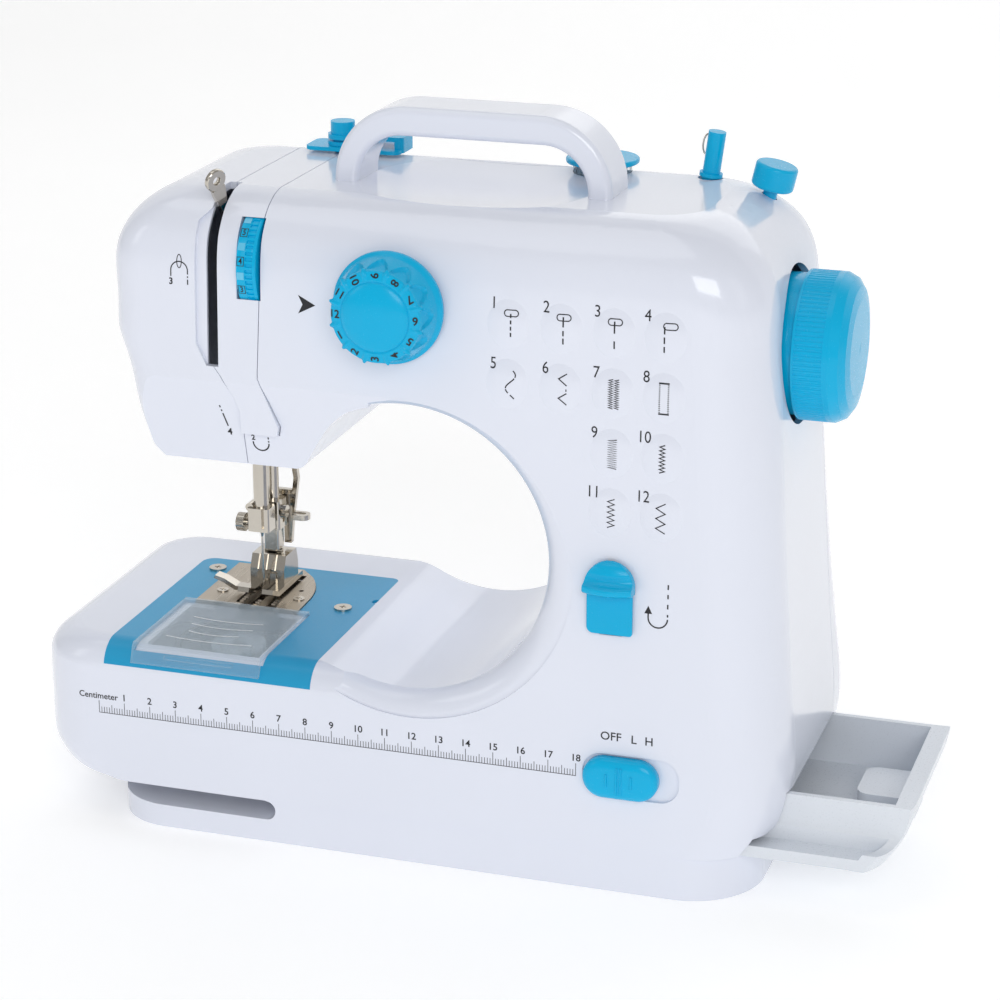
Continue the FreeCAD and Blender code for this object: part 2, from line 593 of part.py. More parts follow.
HOOK_R = 23.2
hook_top, hook_low = 61.0, 45.5
hook = rod_z(hook_low, hook_top, NEEDLE_X, HOOK_Y, HOOK_R)
hook = hook.cut(rod_z(hook_low + 2, hook_top + 1, NEEDLE_X, HOOK_Y, HOOK_R - 1.8))
hook = hook.cut(block(NEEDLE_X - 9, NEEDLE_X + 3, HOOK_Y + HOOK_R - 4, HOOK_Y + HOOK_R + 1, hook_top - 6,
                      hook_top + 1))
hook = hook.fuse(rod_z(20.5, hook_low + 0.01, NEEDLE_X, HOOK_Y, 3.0))
hook = hook.cut(rod_z(hook_low - 0.5, hook_low + 3, NEEDLE_X, HOOK_Y, 1.2))
case = rod_z(hook_low + 2.6, hook_top - 0.6, NEEDLE_X, HOOK_Y, HOOK_R - 2.3)
case = case.cut(rod_z(hook_low + 3.8, hook_top + 1, NEEDLE_X, HOOK_Y, 14.0))
case = case.cut(rod_z(hook_low, hook_top, NEEDLE_X, HOOK_Y, 1.6))
save(case, "bobbin_case")
spool = rod_z(0, 11.0, 0, 0, 10.2).cut(rod_z(1.2, 9.8, 0, 0, 12).cut(rod_z(1.2, 9.8, 0, 0, 4.4)))
spool = spool.cut(rod_z(-1, 12, 0, 0, 3.0))
for n in range(6):
    a = math.radians(60 * n)
    spool = spool.cut(rod_z(-1, 12, 7.4 * math.cos(a), 7.4 * math.sin(a), 1.1))
spool.translate(V(NEEDLE_X, HOOK_Y, hook_low + 4.0))
save(spool, "bobbin")


# ---------------------------------------------------------------- lower drive
def bevel(teeth, pitch_r, apex, axis, face_near, face_far, flat_bore):
    """A bevel gear as a ruled loft; narrow teeth leave generous backlash."""
    def ring(at):
        scale = at / face_far
        root, tip = (pitch_r - 1.1) * scale, (pitch_r + 0.45) * scale
        points = []
        for n in range(teeth):
            for da, r in ((-0.2, root), (-0.08, tip), (0.08, tip), (0.2, root)):
                a = 2 * math.pi * (n + da) / teeth
                points.append(V(r * math.cos(a), r * math.sin(a), at))
        return Part.makePolygon(points + [points[0]])
    body = upright(Part.makeLoft([ring(face_near), ring(face_far)], True, True))
    body = body.cut(Part.makeCylinder(flat_bore, 100, V(0, 0, -50), V(0, 0, 1)))
    body.Placement = FreeCAD.Placement(apex, FreeCAD.Rotation(V(0, 0, 1), axis))
    return body


gear_apex = V(NEEDLE_X, HOOK_Y, HOOK_SHAFT_Z)
hook_gear = bevel(10, 5.0, gear_apex, V(0, 0, 1), 6.5, 10.0, 3.0)
save(hook.fuse(hook_gear), "rotary_hook")
drive_gear = bevel(20, 10.0, gear_apex, V(1, 0, 0), 3.25, 5.0, 2.5)
turn = FreeCAD.Placement(gear_apex, FreeCAD.Rotation(V(1, 0, 0), 9.0))
drive_gear.Placement = turn.multiply(FreeCAD.Placement(gear_apex.negative(), FreeCAD.Rotation())).multiply(
    drive_gear.Placement)
drive_hub = rod_x(NEEDLE_X + 4.95, NEEDLE_X + 9.3, HOOK_Y, HOOK_SHAFT_Z, 6.0)
drive_gear = drive_gear.fuse(drive_hub.cut(rod_x(-80, -60, HOOK_Y, HOOK_SHAFT_Z, 2.5)))
save(drive_gear, "drive_gear")
save(rod_x(NEEDLE_X + 3.8, 69.0, HOOK_Y, HOOK_SHAFT_Z, 2.5), "lower_shaft")


def toothed_pulley(x0, x1, y, z, r, bore, teeth):
    wheel = rod_x(x0, x1, y, z, r)
    for n in range(teeth):
        a = 2 * math.pi * n / teeth
        wheel = wheel.cut(rod_x(x0 + 1.2, x1 - 1.2, y + r * math.cos(a), z + r * math.sin(a), 0.55))
    wheel = wheel.fuse(rod_x(x0, x0 + 1.1, y, z, r + 1.6)).fuse(rod_x(x1 - 1.1, x1, y, z, r + 1.6))
    return wheel.cut(rod_x(x0 - 1, x1 + 1, y, z, bore))


def belt(x0, x1, y0, z0, r0, y1, z1, r1, thick):
    """A flat belt round two pulleys."""
    def loop(extra):
        a, b = r0 + extra, r1 + extra
        dy, dz = y1 - y0, z1 - z0
        dist = math.hypot(dy, dz)
        uy, uz = dy / dist, dz / dist
        c = (a - b) / dist
        s_ = math.sqrt(1 - c * c)
        ny1, nz1 = uy * c - uz * s_, uz * c + uy * s_
        ny2, nz2 = uy * c + uz * s_, uz * c - uy * s_
        pa1, pb1 = V(x0, y0 + a * ny1, z0 + a * nz1), V(x0, y1 + b * ny1, z1 + b * nz1)
        pa2, pb2 = V(x0, y0 + a * ny2, z0 + a * nz2), V(x0, y1 + b * ny2, z1 + b * nz2)
        return Part.Face(Part.Wire([
            Part.makeLine(pa1, pb1), Part.Arc(pb1, V(x0, y1 + b * uy, z1 + b * uz), pb2).toShape(),
            Part.makeLine(pb2, pa2), Part.Arc(pa2, V(x0, y0 - a * uy, z0 - a * uz), pa1).toShape()]))
    return loop(thick).cut(loop(0)).extrude(V(x1 - x0, 0, 0))


TIMING_X = (60.0, 67.0)
TIMING_R = 7.6
save(toothed_pulley(TIMING_X[0], TIMING_X[1], HOOK_Y, HOOK_SHAFT_Z, TIMING_R, 2.5, 16), "lower_pulley")
save(toothed_pulley(TIMING_X[0], TIMING_X[1], SHAFT_Y, SHAFT_Z, TIMING_R, SHAFT_R, 16), "upper_pulley")
save(belt(TIMING_X[0] + 1.4, TIMING_X[1] - 1.4, SHAFT_Y, SHAFT_Z, TIMING_R + 0.06, HOOK_Y, HOOK_SHAFT_Z,
          TIMING_R + 0.06, 1.1), "timing_belt")

# ---------------------------------------------------------------- upper drive and motor
MOTOR_Y, MOTOR_Z, MOTOR_R = 21.0, 64.0, 15.5
MOTOR_X = (51.0, 82.0)
MOTOR_BELT_X = (86.0, 91.0)
DRIVE_R, PINION_R = 21.0, 5.0
save(rod_x(-64.0, 141.0, SHAFT_Y, SHAFT_Z, SHAFT_R), "main_shaft")
drive_wheel = rod_x(MOTOR_BELT_X[0] - 1.2, MOTOR_BELT_X[1] + 1.2, SHAFT_Y, SHAFT_Z, DRIVE_R + 1.6)
drive_wheel = drive_wheel.cut(rod_x(MOTOR_BELT_X[0], MOTOR_BELT_X[1], SHAFT_Y, SHAFT_Z, 40).cut(
    rod_x(MOTOR_BELT_X[0], MOTOR_BELT_X[1], SHAFT_Y, SHAFT_Z, DRIVE_R)))
drive_wheel = drive_wheel.cut(rod_x(80, 100, SHAFT_Y, SHAFT_Z, SHAFT_R))
for n in range(5):
    a = math.radians(72 * n)
    y, z = SHAFT_Y + 12.5 * math.cos(a), SHAFT_Z + 12.5 * math.sin(a)
    drive_wheel = drive_wheel.cut(rod_x(80, 100, y, z, 4.4))
save(drive_wheel, "drive_wheel")
save(belt(MOTOR_BELT_X[0] + 0.4, MOTOR_BELT_X[1] - 0.4, SHAFT_Y, SHAFT_Z, DRIVE_R + 0.06, MOTOR_Y, MOTOR_Z,
          PINION_R + 0.06, 1.4), "motor_belt")
motor = rod_x(MOTOR_X[0], MOTOR_X[1], MOTOR_Y, MOTOR_Z, MOTOR_R)
motor = motor.fuse(rod_x(MOTOR_X[0] - 1.5, MOTOR_X[0], MOTOR_Y, MOTOR_Z, 6))
motor = motor.fuse(rod_x(MOTOR_X[1], MOTOR_X[1] + 1.2, MOTOR_Y, MOTOR_Z, 6))
motor = motor.cut(rod_x(40, 90, MOTOR_Y, MOTOR_Z, 1.6 + RUNNING))
save(motor, "motor")
pinion = rod_x(MOTOR_BELT_X[0] - 1.2, MOTOR_BELT_X[1] + 1.2, MOTOR_Y, MOTOR_Z, PINION_R + 1.2)
pinion = pinion.cut(rod_x(MOTOR_BELT_X[0], MOTOR_BELT_X[1], MOTOR_Y, MOTOR_Z, 20).cut(
    rod_x(MOTOR_BELT_X[0], MOTOR_BELT_X[1], MOTOR_Y, MOTOR_Z, PINION_R)))
save(pinion.fuse(rod_x(MOTOR_X[0] - 3, 93.5, MOTOR_Y, MOTOR_Z, 1.6)), "motor_pulley")

# inner frame: a plate behind the main shaft with two bearing blocks and the motor bracket
frame_plate = rounded_block(-56, 108, 18, 21, 172, 206, 6, "y")
BEARINGS_X = [(-56.0, -49.0), (100.0, 108.0)]
for xa, xb in BEARINGS_X:
    frame_plate = frame_plate.fuse(block(xa, xb, SHAFT_Y - 9, 19, SHAFT_Z - 9, SHAFT_Z + 9))
frame_plate = frame_plate.cut(rod_y(15, 25, 20, 189, 8)).cut(rod_y(15, 25, -18, 189, 8))
bracket = block(70, 82, 18, 21, 70, 174)
frame_plate = frame_plate.fuse(bracket)
frame_plate = frame_plate.cut(rod_x(60, 90, MOTOR_Y, MOTOR_Z, MOTOR_R + 0.02))
frame_plate = frame_plate.cut(block(84.5, 93, 10, 30, 160, 184))
for xa, xb in BEARINGS_X:
    frame_plate = frame_plate.cut(rod_x(xa - 1, xb + 1, SHAFT_Y, SHAFT_Z, 6.0))
frame_plate = frame_plate.cut(rod_x(80, 99.5, SHAFT_Y, SHAFT_Z, DRIVE_R + 4)).cut(
    rod_x(58, 69, SHAFT_Y, SHAFT_Z, TIMING_R + 4))
save(frame_plate, "inner_frame")
bushes = [rod_x(xa, xb, SHAFT_Y, SHAFT_Z, 6.0).cut(rod_x(xa - 1, xb + 1, SHAFT_Y, SHAFT_Z, SHAFT_R + RUNNING))
          for xa, xb in BEARINGS_X]
save(Part.makeCompound(bushes), "shaft_bushes")

bed_frame = block(-112, 70.5, -38, 30, 18.4, 20.4)
for xa, xb in ((-60, -52), (48, 56)):
    bed_frame = bed_frame.fuse(block(xa, xb, HOOK_Y - 8, HOOK_Y + 8, 19, HOOK_SHAFT_Z + 8))
    bed_frame = bed_frame.cut(rod_x(xa - 1, xb + 1, HOOK_Y, HOOK_SHAFT_Z, 2.5 + RUNNING))
bed_frame = bed_frame.fuse(rod_z(20, 21.0, NEEDLE_X, HOOK_Y, 6.5))
bed_frame = bed_frame.cut(rod_z(10, 30, NEEDLE_X, HOOK_Y, 3.0 + RUNNING))
bed_frame = bed_frame.cut(block(57, 75, HOOK_Y - 14, HOOK_Y + 11, 10, 30))
save(bed_frame, "bed_frame")

# ---------------------------------------------------------------- needle mechanism
crank = rod_x(-67.0, -60.0, SHAFT_Y, SHAFT_Z, 17.0).cut(rod_x(-80, -50, SHAFT_Y, SHAFT_Z, SHAFT_R))
crank = crank.cut(block(-68, -59, SHAFT_Y - 20, SHAFT_Y - 8, SHAFT_Z - 20, SHAFT_Z - 2))
pin_angle = math.radians(-5.0)
PIN_Y = SHAFT_Y + CRANK_R * math.cos(pin_angle)
PIN_Z = SHAFT_Z + CRANK_R * math.sin(pin_angle)
crank = crank.fuse(rod_x(-72.6, -66.9, PIN_Y, PIN_Z, 2.5))
save(crank, "crank_disc")
rod_low_z = PIN_Z - 26.0
rod = rod_x(-71.8, -68.2, PIN_Y, PIN_Z, 5.5).fuse(rod_x(-71.8, -68.2, PIN_Y, rod_low_z, 4.5)).fuse(
    block(-71.4, -68.6, PIN_Y - 2.6, PIN_Y + 2.6, rod_low_z, PIN_Z))
rod = rod.cut(rod_x(-75, -65, PIN_Y, PIN_Z, 2.5 + RUNNING)).cut(rod_x(-75, -65, PIN_Y, rod_low_z, 2.2))
save(rod, "connecting_rod")

BAR_R = 2.85
bar = rod_z(97.2, 200, NEEDLE_X, NEEDLE_Y, BAR_R)
bar = bar.cut(rod_z(95, 109, NEEDLE_X, NEEDLE_Y, 0.8))
save(bar, "needle_bar")
CLAMP_Z = (96.6, 105.6)
SCREW_Z = 98.6
clamp = rounded_block(NEEDLE_X - 4.2, NEEDLE_X + 4.4, NEEDLE_Y - 4.2, NEEDLE_Y + 3.4,
                      CLAMP_Z[0], CLAMP_Z[1], 1.2)
clamp = clamp.fuse(rod_y(NEEDLE_Y - 3.0, NEEDLE_Y + 2.0, NEEDLE_X - 3.6, CLAMP_Z[1], 1.6))
clamp = clamp.cut(block(NEEDLE_X + 1.6, NEEDLE_X + 2.6, NEEDLE_Y - 6, NEEDLE_Y - 2.9, CLAMP_Z[0] + 1.4, 110))
clamp = clamp.cut(rod_z(90, 120, NEEDLE_X, NEEDLE_Y, BAR_R)).cut(rod_x(-90, NEEDLE_X, NEEDLE_Y, SCREW_Z, 1.2))
save(clamp, "needle_clamp")
thumb = rod_x(NEEDLE_X - 9.2, NEEDLE_X - 6.2, NEEDLE_Y, SCREW_Z, 3.5)
for n in range(18):
    a = 2 * math.pi * n / 18
    y, z = NEEDLE_Y + 3.6 * math.cos(a), SCREW_Z + 3.6 * math.sin(a)
    thumb = thumb.cut(rod_x(NEEDLE_X - 9.0, NEEDLE_X - 6.4, y, z, 0.35))
thumb = thumb.fuse(rod_x(NEEDLE_X - 6.3, NEEDLE_X - BAR_R - 0.3, NEEDLE_Y, SCREW_Z, 1.2))
save(thumb, "needle_screw")
needle = rod_z(95.6, 108.5, NEEDLE_X, NEEDLE_Y, 0.8)
needle = needle.fuse(rod_z(77.0, 93.7, NEEDLE_X, NEEDLE_Y, 0.45))
needle = needle.fuse(Part.makeCone(0.05, 0.45, 5.1, V(NEEDLE_X, NEEDLE_Y, NEEDLE_TIP_Z), V(0, 0, 1)))
needle = needle.fuse(Part.makeCone(0.45, 0.8, 2.0, V(NEEDLE_X, NEEDLE_Y, 93.65), V(0, 0, 1)))
needle = needle.cut(block(NEEDLE_X - 0.15, NEEDLE_X + 0.15, NEEDLE_Y - 2, NEEDLE_Y + 2, 78.0, 79.3))
save(needle, "needle")
ga, gb = NEEDLE_X - 4.2, NEEDLE_X + 4.2
gy = PRESSER_Y + 6
guide_block = block(ga, gb, NEEDLE_Y - 6, gy, 146, 152).fuse(block(ga, gb, NEEDLE_Y - 6, gy, 216, 221)).fuse(
    block(ga, gb, gy - 0.1, gy + 3.6, 146, 221)).fuse(block(gb - 1, -66, gy - 0.1, gy + 3.6, 172, 221))
guide_block = guide_block.cut(rod_z(140, 230, NEEDLE_X, NEEDLE_Y, BAR_R + RUNNING)).cut(
    rod_z(140, 230, NEEDLE_X, PRESSER_Y, 2.5 + RUNNING))

# ---------------------------------------------------------------- presser foot
collar = rod_z(152.6, 159.8, NEEDLE_X, PRESSER_Y, 5.2)
save(rod_z(97.0, 206, NEEDLE_X, PRESSER_Y, 2.5).fuse(collar), "presser_bar")
holder = rounded_block(NEEDLE_X - 4.2, NEEDLE_X + 4.2, PRESSER_Y - 4.2, PRESSER_Y + 4.2, 94.0, 105.0, 1.2)
holder = holder.cut(rod_z(97.0, 110, NEEDLE_X, PRESSER_Y, 2.5))
holder = holder.cut(block(NEEDLE_X + 3.4, NEEDLE_X + 6, PRESSER_Y - 1.0, PRESSER_Y + 1.0, 96.0, 103.0))
ankle = rounded_block(NEEDLE_X - 2.6, NEEDLE_X + 3.4, PRESSER_Y - 3.6, PRESSER_Y + 2.4, 86.0, 94.1, 0.8)
FOOT_PIN_Z = 84.6
lug = block(NEEDLE_X - 1.6, NEEDLE_X + 1.6, PRESSER_Y - 2.0, PRESSER_Y + 2.0, FOOT_PIN_Z - 1.6, 86.2)
holder = holder.fuse(ankle).fuse(lug)
holder = holder.fuse(rod_x(NEEDLE_X - 3.4, NEEDLE_X + 3.4, PRESSER_Y, FOOT_PIN_Z, 1.0))
foot_screw = rod_x(NEEDLE_X + 4.1, NEEDLE_X + 6.4, PRESSER_Y - 1.6, 101.0, 2.4)
foot_screw = foot_screw.cut(block(NEEDLE_X + 5.8, NEEDLE_X + 9, PRESSER_Y - 6, PRESSER_Y + 4, 100.7, 101.3))
save(holder.fuse(foot_screw), "foot_holder")
# zigzag foot: a sole with upturned toes, and a tall body with a faceted front
sole_half, toe_z = 7.0, 77.0
foot = block(NEEDLE_X - sole_half, NEEDLE_X + sole_half, -2.0, 22.0, 71.2, 73.2)
for sx in (-1, 1):
    xa, xb = sorted((NEEDLE_X + sx * 2.6, NEEDLE_X + sx * sole_half))
    foot = foot.fuse(prism_x([(-1.9, 71.2), (-1.9, 73.2), (-7.5, 75.6), (-8.3, 74.0)], xa, xb))
foot = foot.cut(block(NEEDLE_X - 2.6, NEEDLE_X + 2.6, -9, 3.6, 60, 90))
body = prism_x([(4.0, 73.0), (4.0, 79.2), (6.4, 84.2), (16.5, 84.2), (18.0, 79.0), (18.0, 73.0)],
               NEEDLE_X - 6.8, NEEDLE_X + 6.8)
for dx in (-3.6, -0.3, 3.2):
    x = NEEDLE_X + dx
    body = body.cut(prism_x([(3.0, 78.0), (4.5, 78.6), (7.2, 84.4), (5.6, 85.5)], x - 0.3, x + 0.3))
foot = foot.fuse(body).fuse(block(NEEDLE_X - 3.7, NEEDLE_X + 3.7, 3.0, 4.1, 73.0, 78.0))
foot = foot.cut(block(NEEDLE_X - 1.9, NEEDLE_X + 1.9, PRESSER_Y - 3.4, PRESSER_Y + 2.6, 81.0, 90))
foot = foot.cut(rod_x(NEEDLE_X - 3.6, NEEDLE_X + 3.6, PRESSER_Y, FOOT_PIN_Z, 1.0 + RUNNING))
foot = foot.cut(block(NEEDLE_X - 3.6, NEEDLE_X + 3.6, PRESSER_Y - 1.05, PRESSER_Y + 1.05, FOOT_PIN_Z, 90))
# guide toe that curls out to the left
side_x = NEEDLE_X - sole_half + 0.5
curl = prism_y([(-97.0, 75.4), (-96.4, 76.6), (-92.6, 75.6), (-88.0, 73.2), (side_x, 73.2), (side_x, 71.6),
                (-88.6, 71.6), (-93.0, 74.0)], -1.5, 3.0)
foot = foot.fuse(curl)
save(foot, "presser_foot")
coil = rod_z(160, 213.5, NEEDLE_X, PRESSER_Y, 4.0).cut(rod_z(150, 220, NEEDLE_X, PRESSER_Y, 2.9))
save(coil, "presser_spring")
LIFT_X, LIFT_Y, LIFT_Z = -72.6, 16.2, 131.0
lifter = rod_y(LIFT_Y, LIFT_Y + 2.2, LIFT_X, LIFT_Z, 3.2)
stem = [(LIFT_X + 1.2, LIFT_Z), (LIFT_X - 1.2, LIFT_Z), (-71.0, 112.0), (-72.7, 99.0), (-71.0, 99.0),
        (-69.2, 112.0)]
shield = [(-77.4, 107.2), (-72.0, 107.2), (-71.2, 99.0), (-72.4, 86.0), (-75.2, 86.0), (-75.2, 99.0)]
for form in (stem, shield):
    lifter = lifter.fuse(prism_y(form, LIFT_Y, LIFT_Y + 2.2))
loop = rounded_block(-74.0, -65.2, LIFT_Y - 1.6, LIFT_Y + 4.0, 95.8, 97.8, 2.6)
loop = loop.cut(rounded_block(-71.5, -66.8, LIFT_Y + 0.2, LIFT_Y + 2.4, 95, 99, 1.0))
lifter = lifter.fuse(loop.cut(block(-76, -71.5, LIFT_Y - 4, LIFT_Y, 90, 100)))
lifter = lifter.cut(rod_y(LIFT_Y - 1, LIFT_Y + 3, LIFT_X, LIFT_Z, 1.5 + RUNNING))
save(lifter, "presser_lifter")
lift_pin = rod_y(LIFT_Y, LIFT_Y + 5.5, LIFT_X, LIFT_Z, 1.5)
lift_pin = lift_pin.fuse(block(LIFT_X - 4, LIFT_X + 4, LIFT_Y + 2.5, LIFT_Y + 5.5, LIFT_Z - 4, 150))
lift_pin = lift_pin.fuse(block(LIFT_X - 8, LIFT_X + 4, gy - 0.1, LIFT_Y + 5.5, 145.9, 150))
save(guide_block.fuse(lift_pin), "bar_guide")

# ---------------------------------------------------------------- take-up lever
TAKE_UP_Y, TAKE_UP_Z = -30.0, 205.0
EYE_Y, EYE_Z = -50.5, 240.0
lever_x = (-70.4, -68.8)
direction = math.atan2(EYE_Z - TAKE_UP_Z, EYE_Y - TAKE_UP_Y)
across = (math.cos(direction + math.pi / 2) * 2.2, math.sin(direction + math.pi / 2) * 2.2)
root = (across[0] * 1.6, across[1] * 1.6)
lever = prism_x([(TAKE_UP_Y + root[0], TAKE_UP_Z + root[1]), (EYE_Y + across[0], EYE_Z + across[1]),
                 (EYE_Y - across[0], EYE_Z - across[1]), (TAKE_UP_Y - root[0], TAKE_UP_Z - root[1])],
                lever_x[0], lever_x[1])
lever = lever.fuse(rod_x(lever_x[0], lever_x[1], EYE_Y, EYE_Z, 3.6)).fuse(
    rod_x(lever_x[0], lever_x[1], TAKE_UP_Y, TAKE_UP_Z, 5.0))
lever = lever.cut(rod_x(-80, -60, EYE_Y, EYE_Z, 1.5)).cut(rod_x(-80, -60, TAKE_UP_Y, TAKE_UP_Z, 2.0 + RUNNING))
save(lever, "take_up_lever")
pivots = [rod_x(-70.4, -60.5, TAKE_UP_Y, TAKE_UP_Z, 2.0).fuse(rod_x(-64.0, -60.5, TAKE_UP_Y, TAKE_UP_Z, 4.0))]

# ---------------------------------------------------------------- thread tension
wheel_x = (-59.4, -52.4)
dial = rod_x(wheel_x[0], wheel_x[1], DIAL_WHEEL_Y, DIAL_WHEEL_Z, DIAL_WHEEL_R)
mid = 0.5 * (wheel_x[0] + wheel_x[1])
for n in range(60):
    a = 2 * math.pi * n / 60
    dial = dial.cut(rod_x(mid, wheel_x[1] + 1, DIAL_WHEEL_Y + (DIAL_WHEEL_R + 0.25) * math.cos(a),
                          DIAL_WHEEL_Z + (DIAL_WHEEL_R + 0.25) * math.sin(a), 0.62))
dial = dial.cut(rod_x(-70, -40, DIAL_WHEEL_Y, DIAL_WHEEL_Z, 2.5 + RUNNING))
save(dial, "tension_wheel")
pivots.append(rod_x(-61.5, -36, DIAL_WHEEL_Y, DIAL_WHEEL_Z, 2.5))
save(Part.makeCompound(pivots), "pivot_pins")
discs = []
for x in (-51.6, -50.2):
    discs.append(rod_x(x, x + 0.8, DIAL_WHEEL_Y, DIAL_WHEEL_Z, 9.0).cut(
        rod_x(-60, -40, DIAL_WHEEL_Y, DIAL_WHEEL_Z, 2.5)))
discs.append(rod_x(-49.0, -40.0, DIAL_WHEEL_Y, DIAL_WHEEL_Z, 4.2).cut(
    rod_x(-60, -30, DIAL_WHEEL_Y, DIAL_WHEEL_Z, 3.0)))
save(Part.makeCompound(discs), "tension_discs")

# ---------------------------------------------------------------- pattern dial
dial_y = front_at(DIAL_Z - 19.4) - 0.4
lobes = 12
profile = [(0, 0), (19.4, 0), (19.4, 3.0), (18.4, 9.0), (16.6, 13.2), (14.6, 15.2), (9.0, 16.8), (0, 17.2)]
knob = turned(profile, V(DIAL_X, dial_y, DIAL_Z), V(0, -1, 0))
for n in range(lobes):
    a = 2 * math.pi * (n + 0.5) / lobes
    x, z = DIAL_X + 21.0 * math.cos(a), DIAL_Z + 21.0 * math.sin(a)
    knob = knob.cut(rod_y(dial_y - 12.5, dial_y - 2.4, x, z, 3.2))
knob = knob.fuse(rod_y(dial_y - 1.0, -32.0, DIAL_X, DIAL_Z, 5.0))
save(knob, "pattern_dial")
cam = rod_y(-46, -36, DIAL_X, DIAL_Z, 13.0)
for n in range(lobes):
    a = 2 * math.pi * n / lobes
    cam = cam.cut(rod_y(-47, -40, DIAL_X + 14.5 * math.cos(a), DIAL_Z + 14.5 * math.sin(a), 2.6))
save(cam.cut(rod_y(-60, -20, DIAL_X, DIAL_Z, 5.0)), "pattern_cam")

# ---------------------------------------------------------------- hand wheel
hand = rod_x(126.6, 138.0, SHAFT_Y, SHAFT_Z, WHEEL_R)
for n in range(96):
    a = 2 * math.pi * n / 96
    hand = hand.cut(rod_x(127.5, 137.0, SHAFT_Y + (WHEEL_R + 0.35) * math.cos(a),
                          SHAFT_Z + (WHEEL_R + 0.35) * math.sin(a), 0.62))
face = turned([(0, 0), (WHEEL_R, 0), (WHEEL_R, 1.0), (WHEEL_R - 1.6, 4.2), (WHEEL_R - 4.6, 6.2),
               (WHEEL_R - 9, 7.0), (0, 7.2)], V(138.0, SHAFT_Y, SHAFT_Z), V(1, 0, 0))
hand = hand.fuse(face).fuse(rod_x(119.5, 126.7, SHAFT_Y, SHAFT_Z, WHEEL_R - 1.4))
hand = hand.cut(rod_x(100, 141.0, SHAFT_Y, SHAFT_Z, SHAFT_R))
save(hand, "hand_wheel")

# ---------------------------------------------------------------- reverse lever and power slider
face_y = front_at(83) - 0.35
shield = rounded_block(REVERSE_X - 8.0, REVERSE_X + 8.0, face_y - 1.6, face_y, 96.5, 121.0, 3.0, "y")
knob = rounded_block(REVERSE_X - 8.6, REVERSE_X + 8.6, face_y - 8.0, face_y - 1.5, 112.5, 122.6, 4.0, "y")
reverse = shield.fuse(knob).fuse(block(REVERSE_X - 3.8, REVERSE_X + 3.8, face_y - 0.1, -46, 108, 116))
save(reverse, "reverse_lever")
save(rod_z(96, 107.8, REVERSE_X, -50, 3.0).cut(rod_z(95, 110, REVERSE_X, -50, 2.2)), "reverse_spring")
slide_y = front_at(SWITCH_Z) + 0.8
slider = rounded_block(65.6, 92.4, slide_y - 5.4, slide_y, SWITCH_Z - 7.4, SWITCH_Z + 7.4, 6.5, "y")
for dx in (-3.6, 3.6):
    x = SWITCH_X + dx
    slider = slider.cut(block(x - 0.7, x + 0.7, slide_y - 7, slide_y - 4.2, SWITCH_Z - 4.6, SWITCH_Z + 4.6))
slider = slider.fuse(block(SWITCH_X - 5, SWITCH_X + 5, slide_y - 0.1, -52.5, SWITCH_Z - 3, SWITCH_Z + 3))
save(slider, "power_slider")
board = block(62, 104, -50.6, -49.0, 39.5, 62)
board = board.fuse(block(70, 96, -52.2, -50.5, SWITCH_Z - 3.5, SWITCH_Z + 3.5))
board = board.fuse(rod_y(-49.1, -42, 90, 55, 4))
save(board, "switch_board")

# ---------------------------------------------------------------- accessory drawer
out = DRAWER_OUT
panel_form = outer.common(drawer_section(0, 96, 150))
inner_face = casing_solid(3.6)
panel = panel_form.cut(inner_face).common(block(110, 150, -60, 60, 0, 60))
tray = drawer_section(-0.05, 72.5, 131)
tray = tray.common(casing_solid(2.0))
room = block(75.0, 127.4, DRAWER_FRONT + 2.4, DRAWER_BACK - 2.4, 19.2, 60)
tray = tray.cut(room)
tray = tray.cut(block(70, 140, LEDGE_Y - 2, DRAWER_FRONT - 0.6, LEDGE_Z - 2.2, 60).cut(
    block(70, 140, LEDGE_Y - 3, DRAWER_FRONT, SEAM_Z - 1, LEDGE_Z - 2.2)))
drawer = panel.fuse(tray)
drawer = drawer.fuse(rounded_block(108, 129, -12, 12, 18.5, 27.0, 5.0))
drawer.translate(V(out, 0, 0))
save(drawer, "accessory_drawer")

# ---------------------------------------------------------------- items on the top
TOP_CUTS = []
SPINDLE = V(83.5, 25.0, ARM_TOP - 6)
tilt = V(math.sin(math.radians(7.5)), 0, math.cos(math.radians(7.5)))


def tilted(shape, base, axis):
    shape.Placement = FreeCAD.Placement(base, FreeCAD.Rotation(V(0, 0, 1), axis))
    return shape


spindle = Part.makeCylinder(3.1, 22.5).fuse(Part.makeCylinder(2.4, 12, V(0, 0, -10)))
spindle = spindle.fuse(Part.makeCylinder(4.1, 1.3, V(0, 0, 6.6)))
spindle = spindle.cut(Part.makeBox(1.6, 2.0, 8.0, V(-3.6, -1.0, 12.0)))
save(tilted(spindle, SPINDLE, tilt), "winder_spindle")
TOP_CUTS.append(tilted(Part.makeCylinder(4.4, 30, V(0, 0, -12)), SPINDLE, tilt))
STOP = V(105.9, 18.0, 227.6)
tilt2 = V(math.sin(math.radians(13)), 0, math.cos(math.radians(13)))
stop = soften(Part.makeCylinder(7.4, 8.6, V(0, 0, 7.6)), 1.2).fuse(Part.makeCylinder(2.5, 18, V(0, 0, -9.5)))
save(tilted(stop, STOP, tilt2), "winder_stop")
TOP_CUTS.append(tilted(Part.makeCylinder(2.8, 20, V(0, 0, -9)), STOP, tilt2))
DISC_X, DISC_Y = 45.5, 24.5
ring = rod_z(229, 238.2, DISC_X, DISC_Y, 10.4).cut(rod_z(228, 240, DISC_X, DISC_Y, 8.4))
for n in range(24):
    a = 2 * math.pi * n / 24
    ring = ring.cut(rod_z(228, 240, DISC_X + 10.6 * math.cos(a), DISC_Y + 10.6 * math.sin(a), 0.7))
save(ring, "spool_ring")
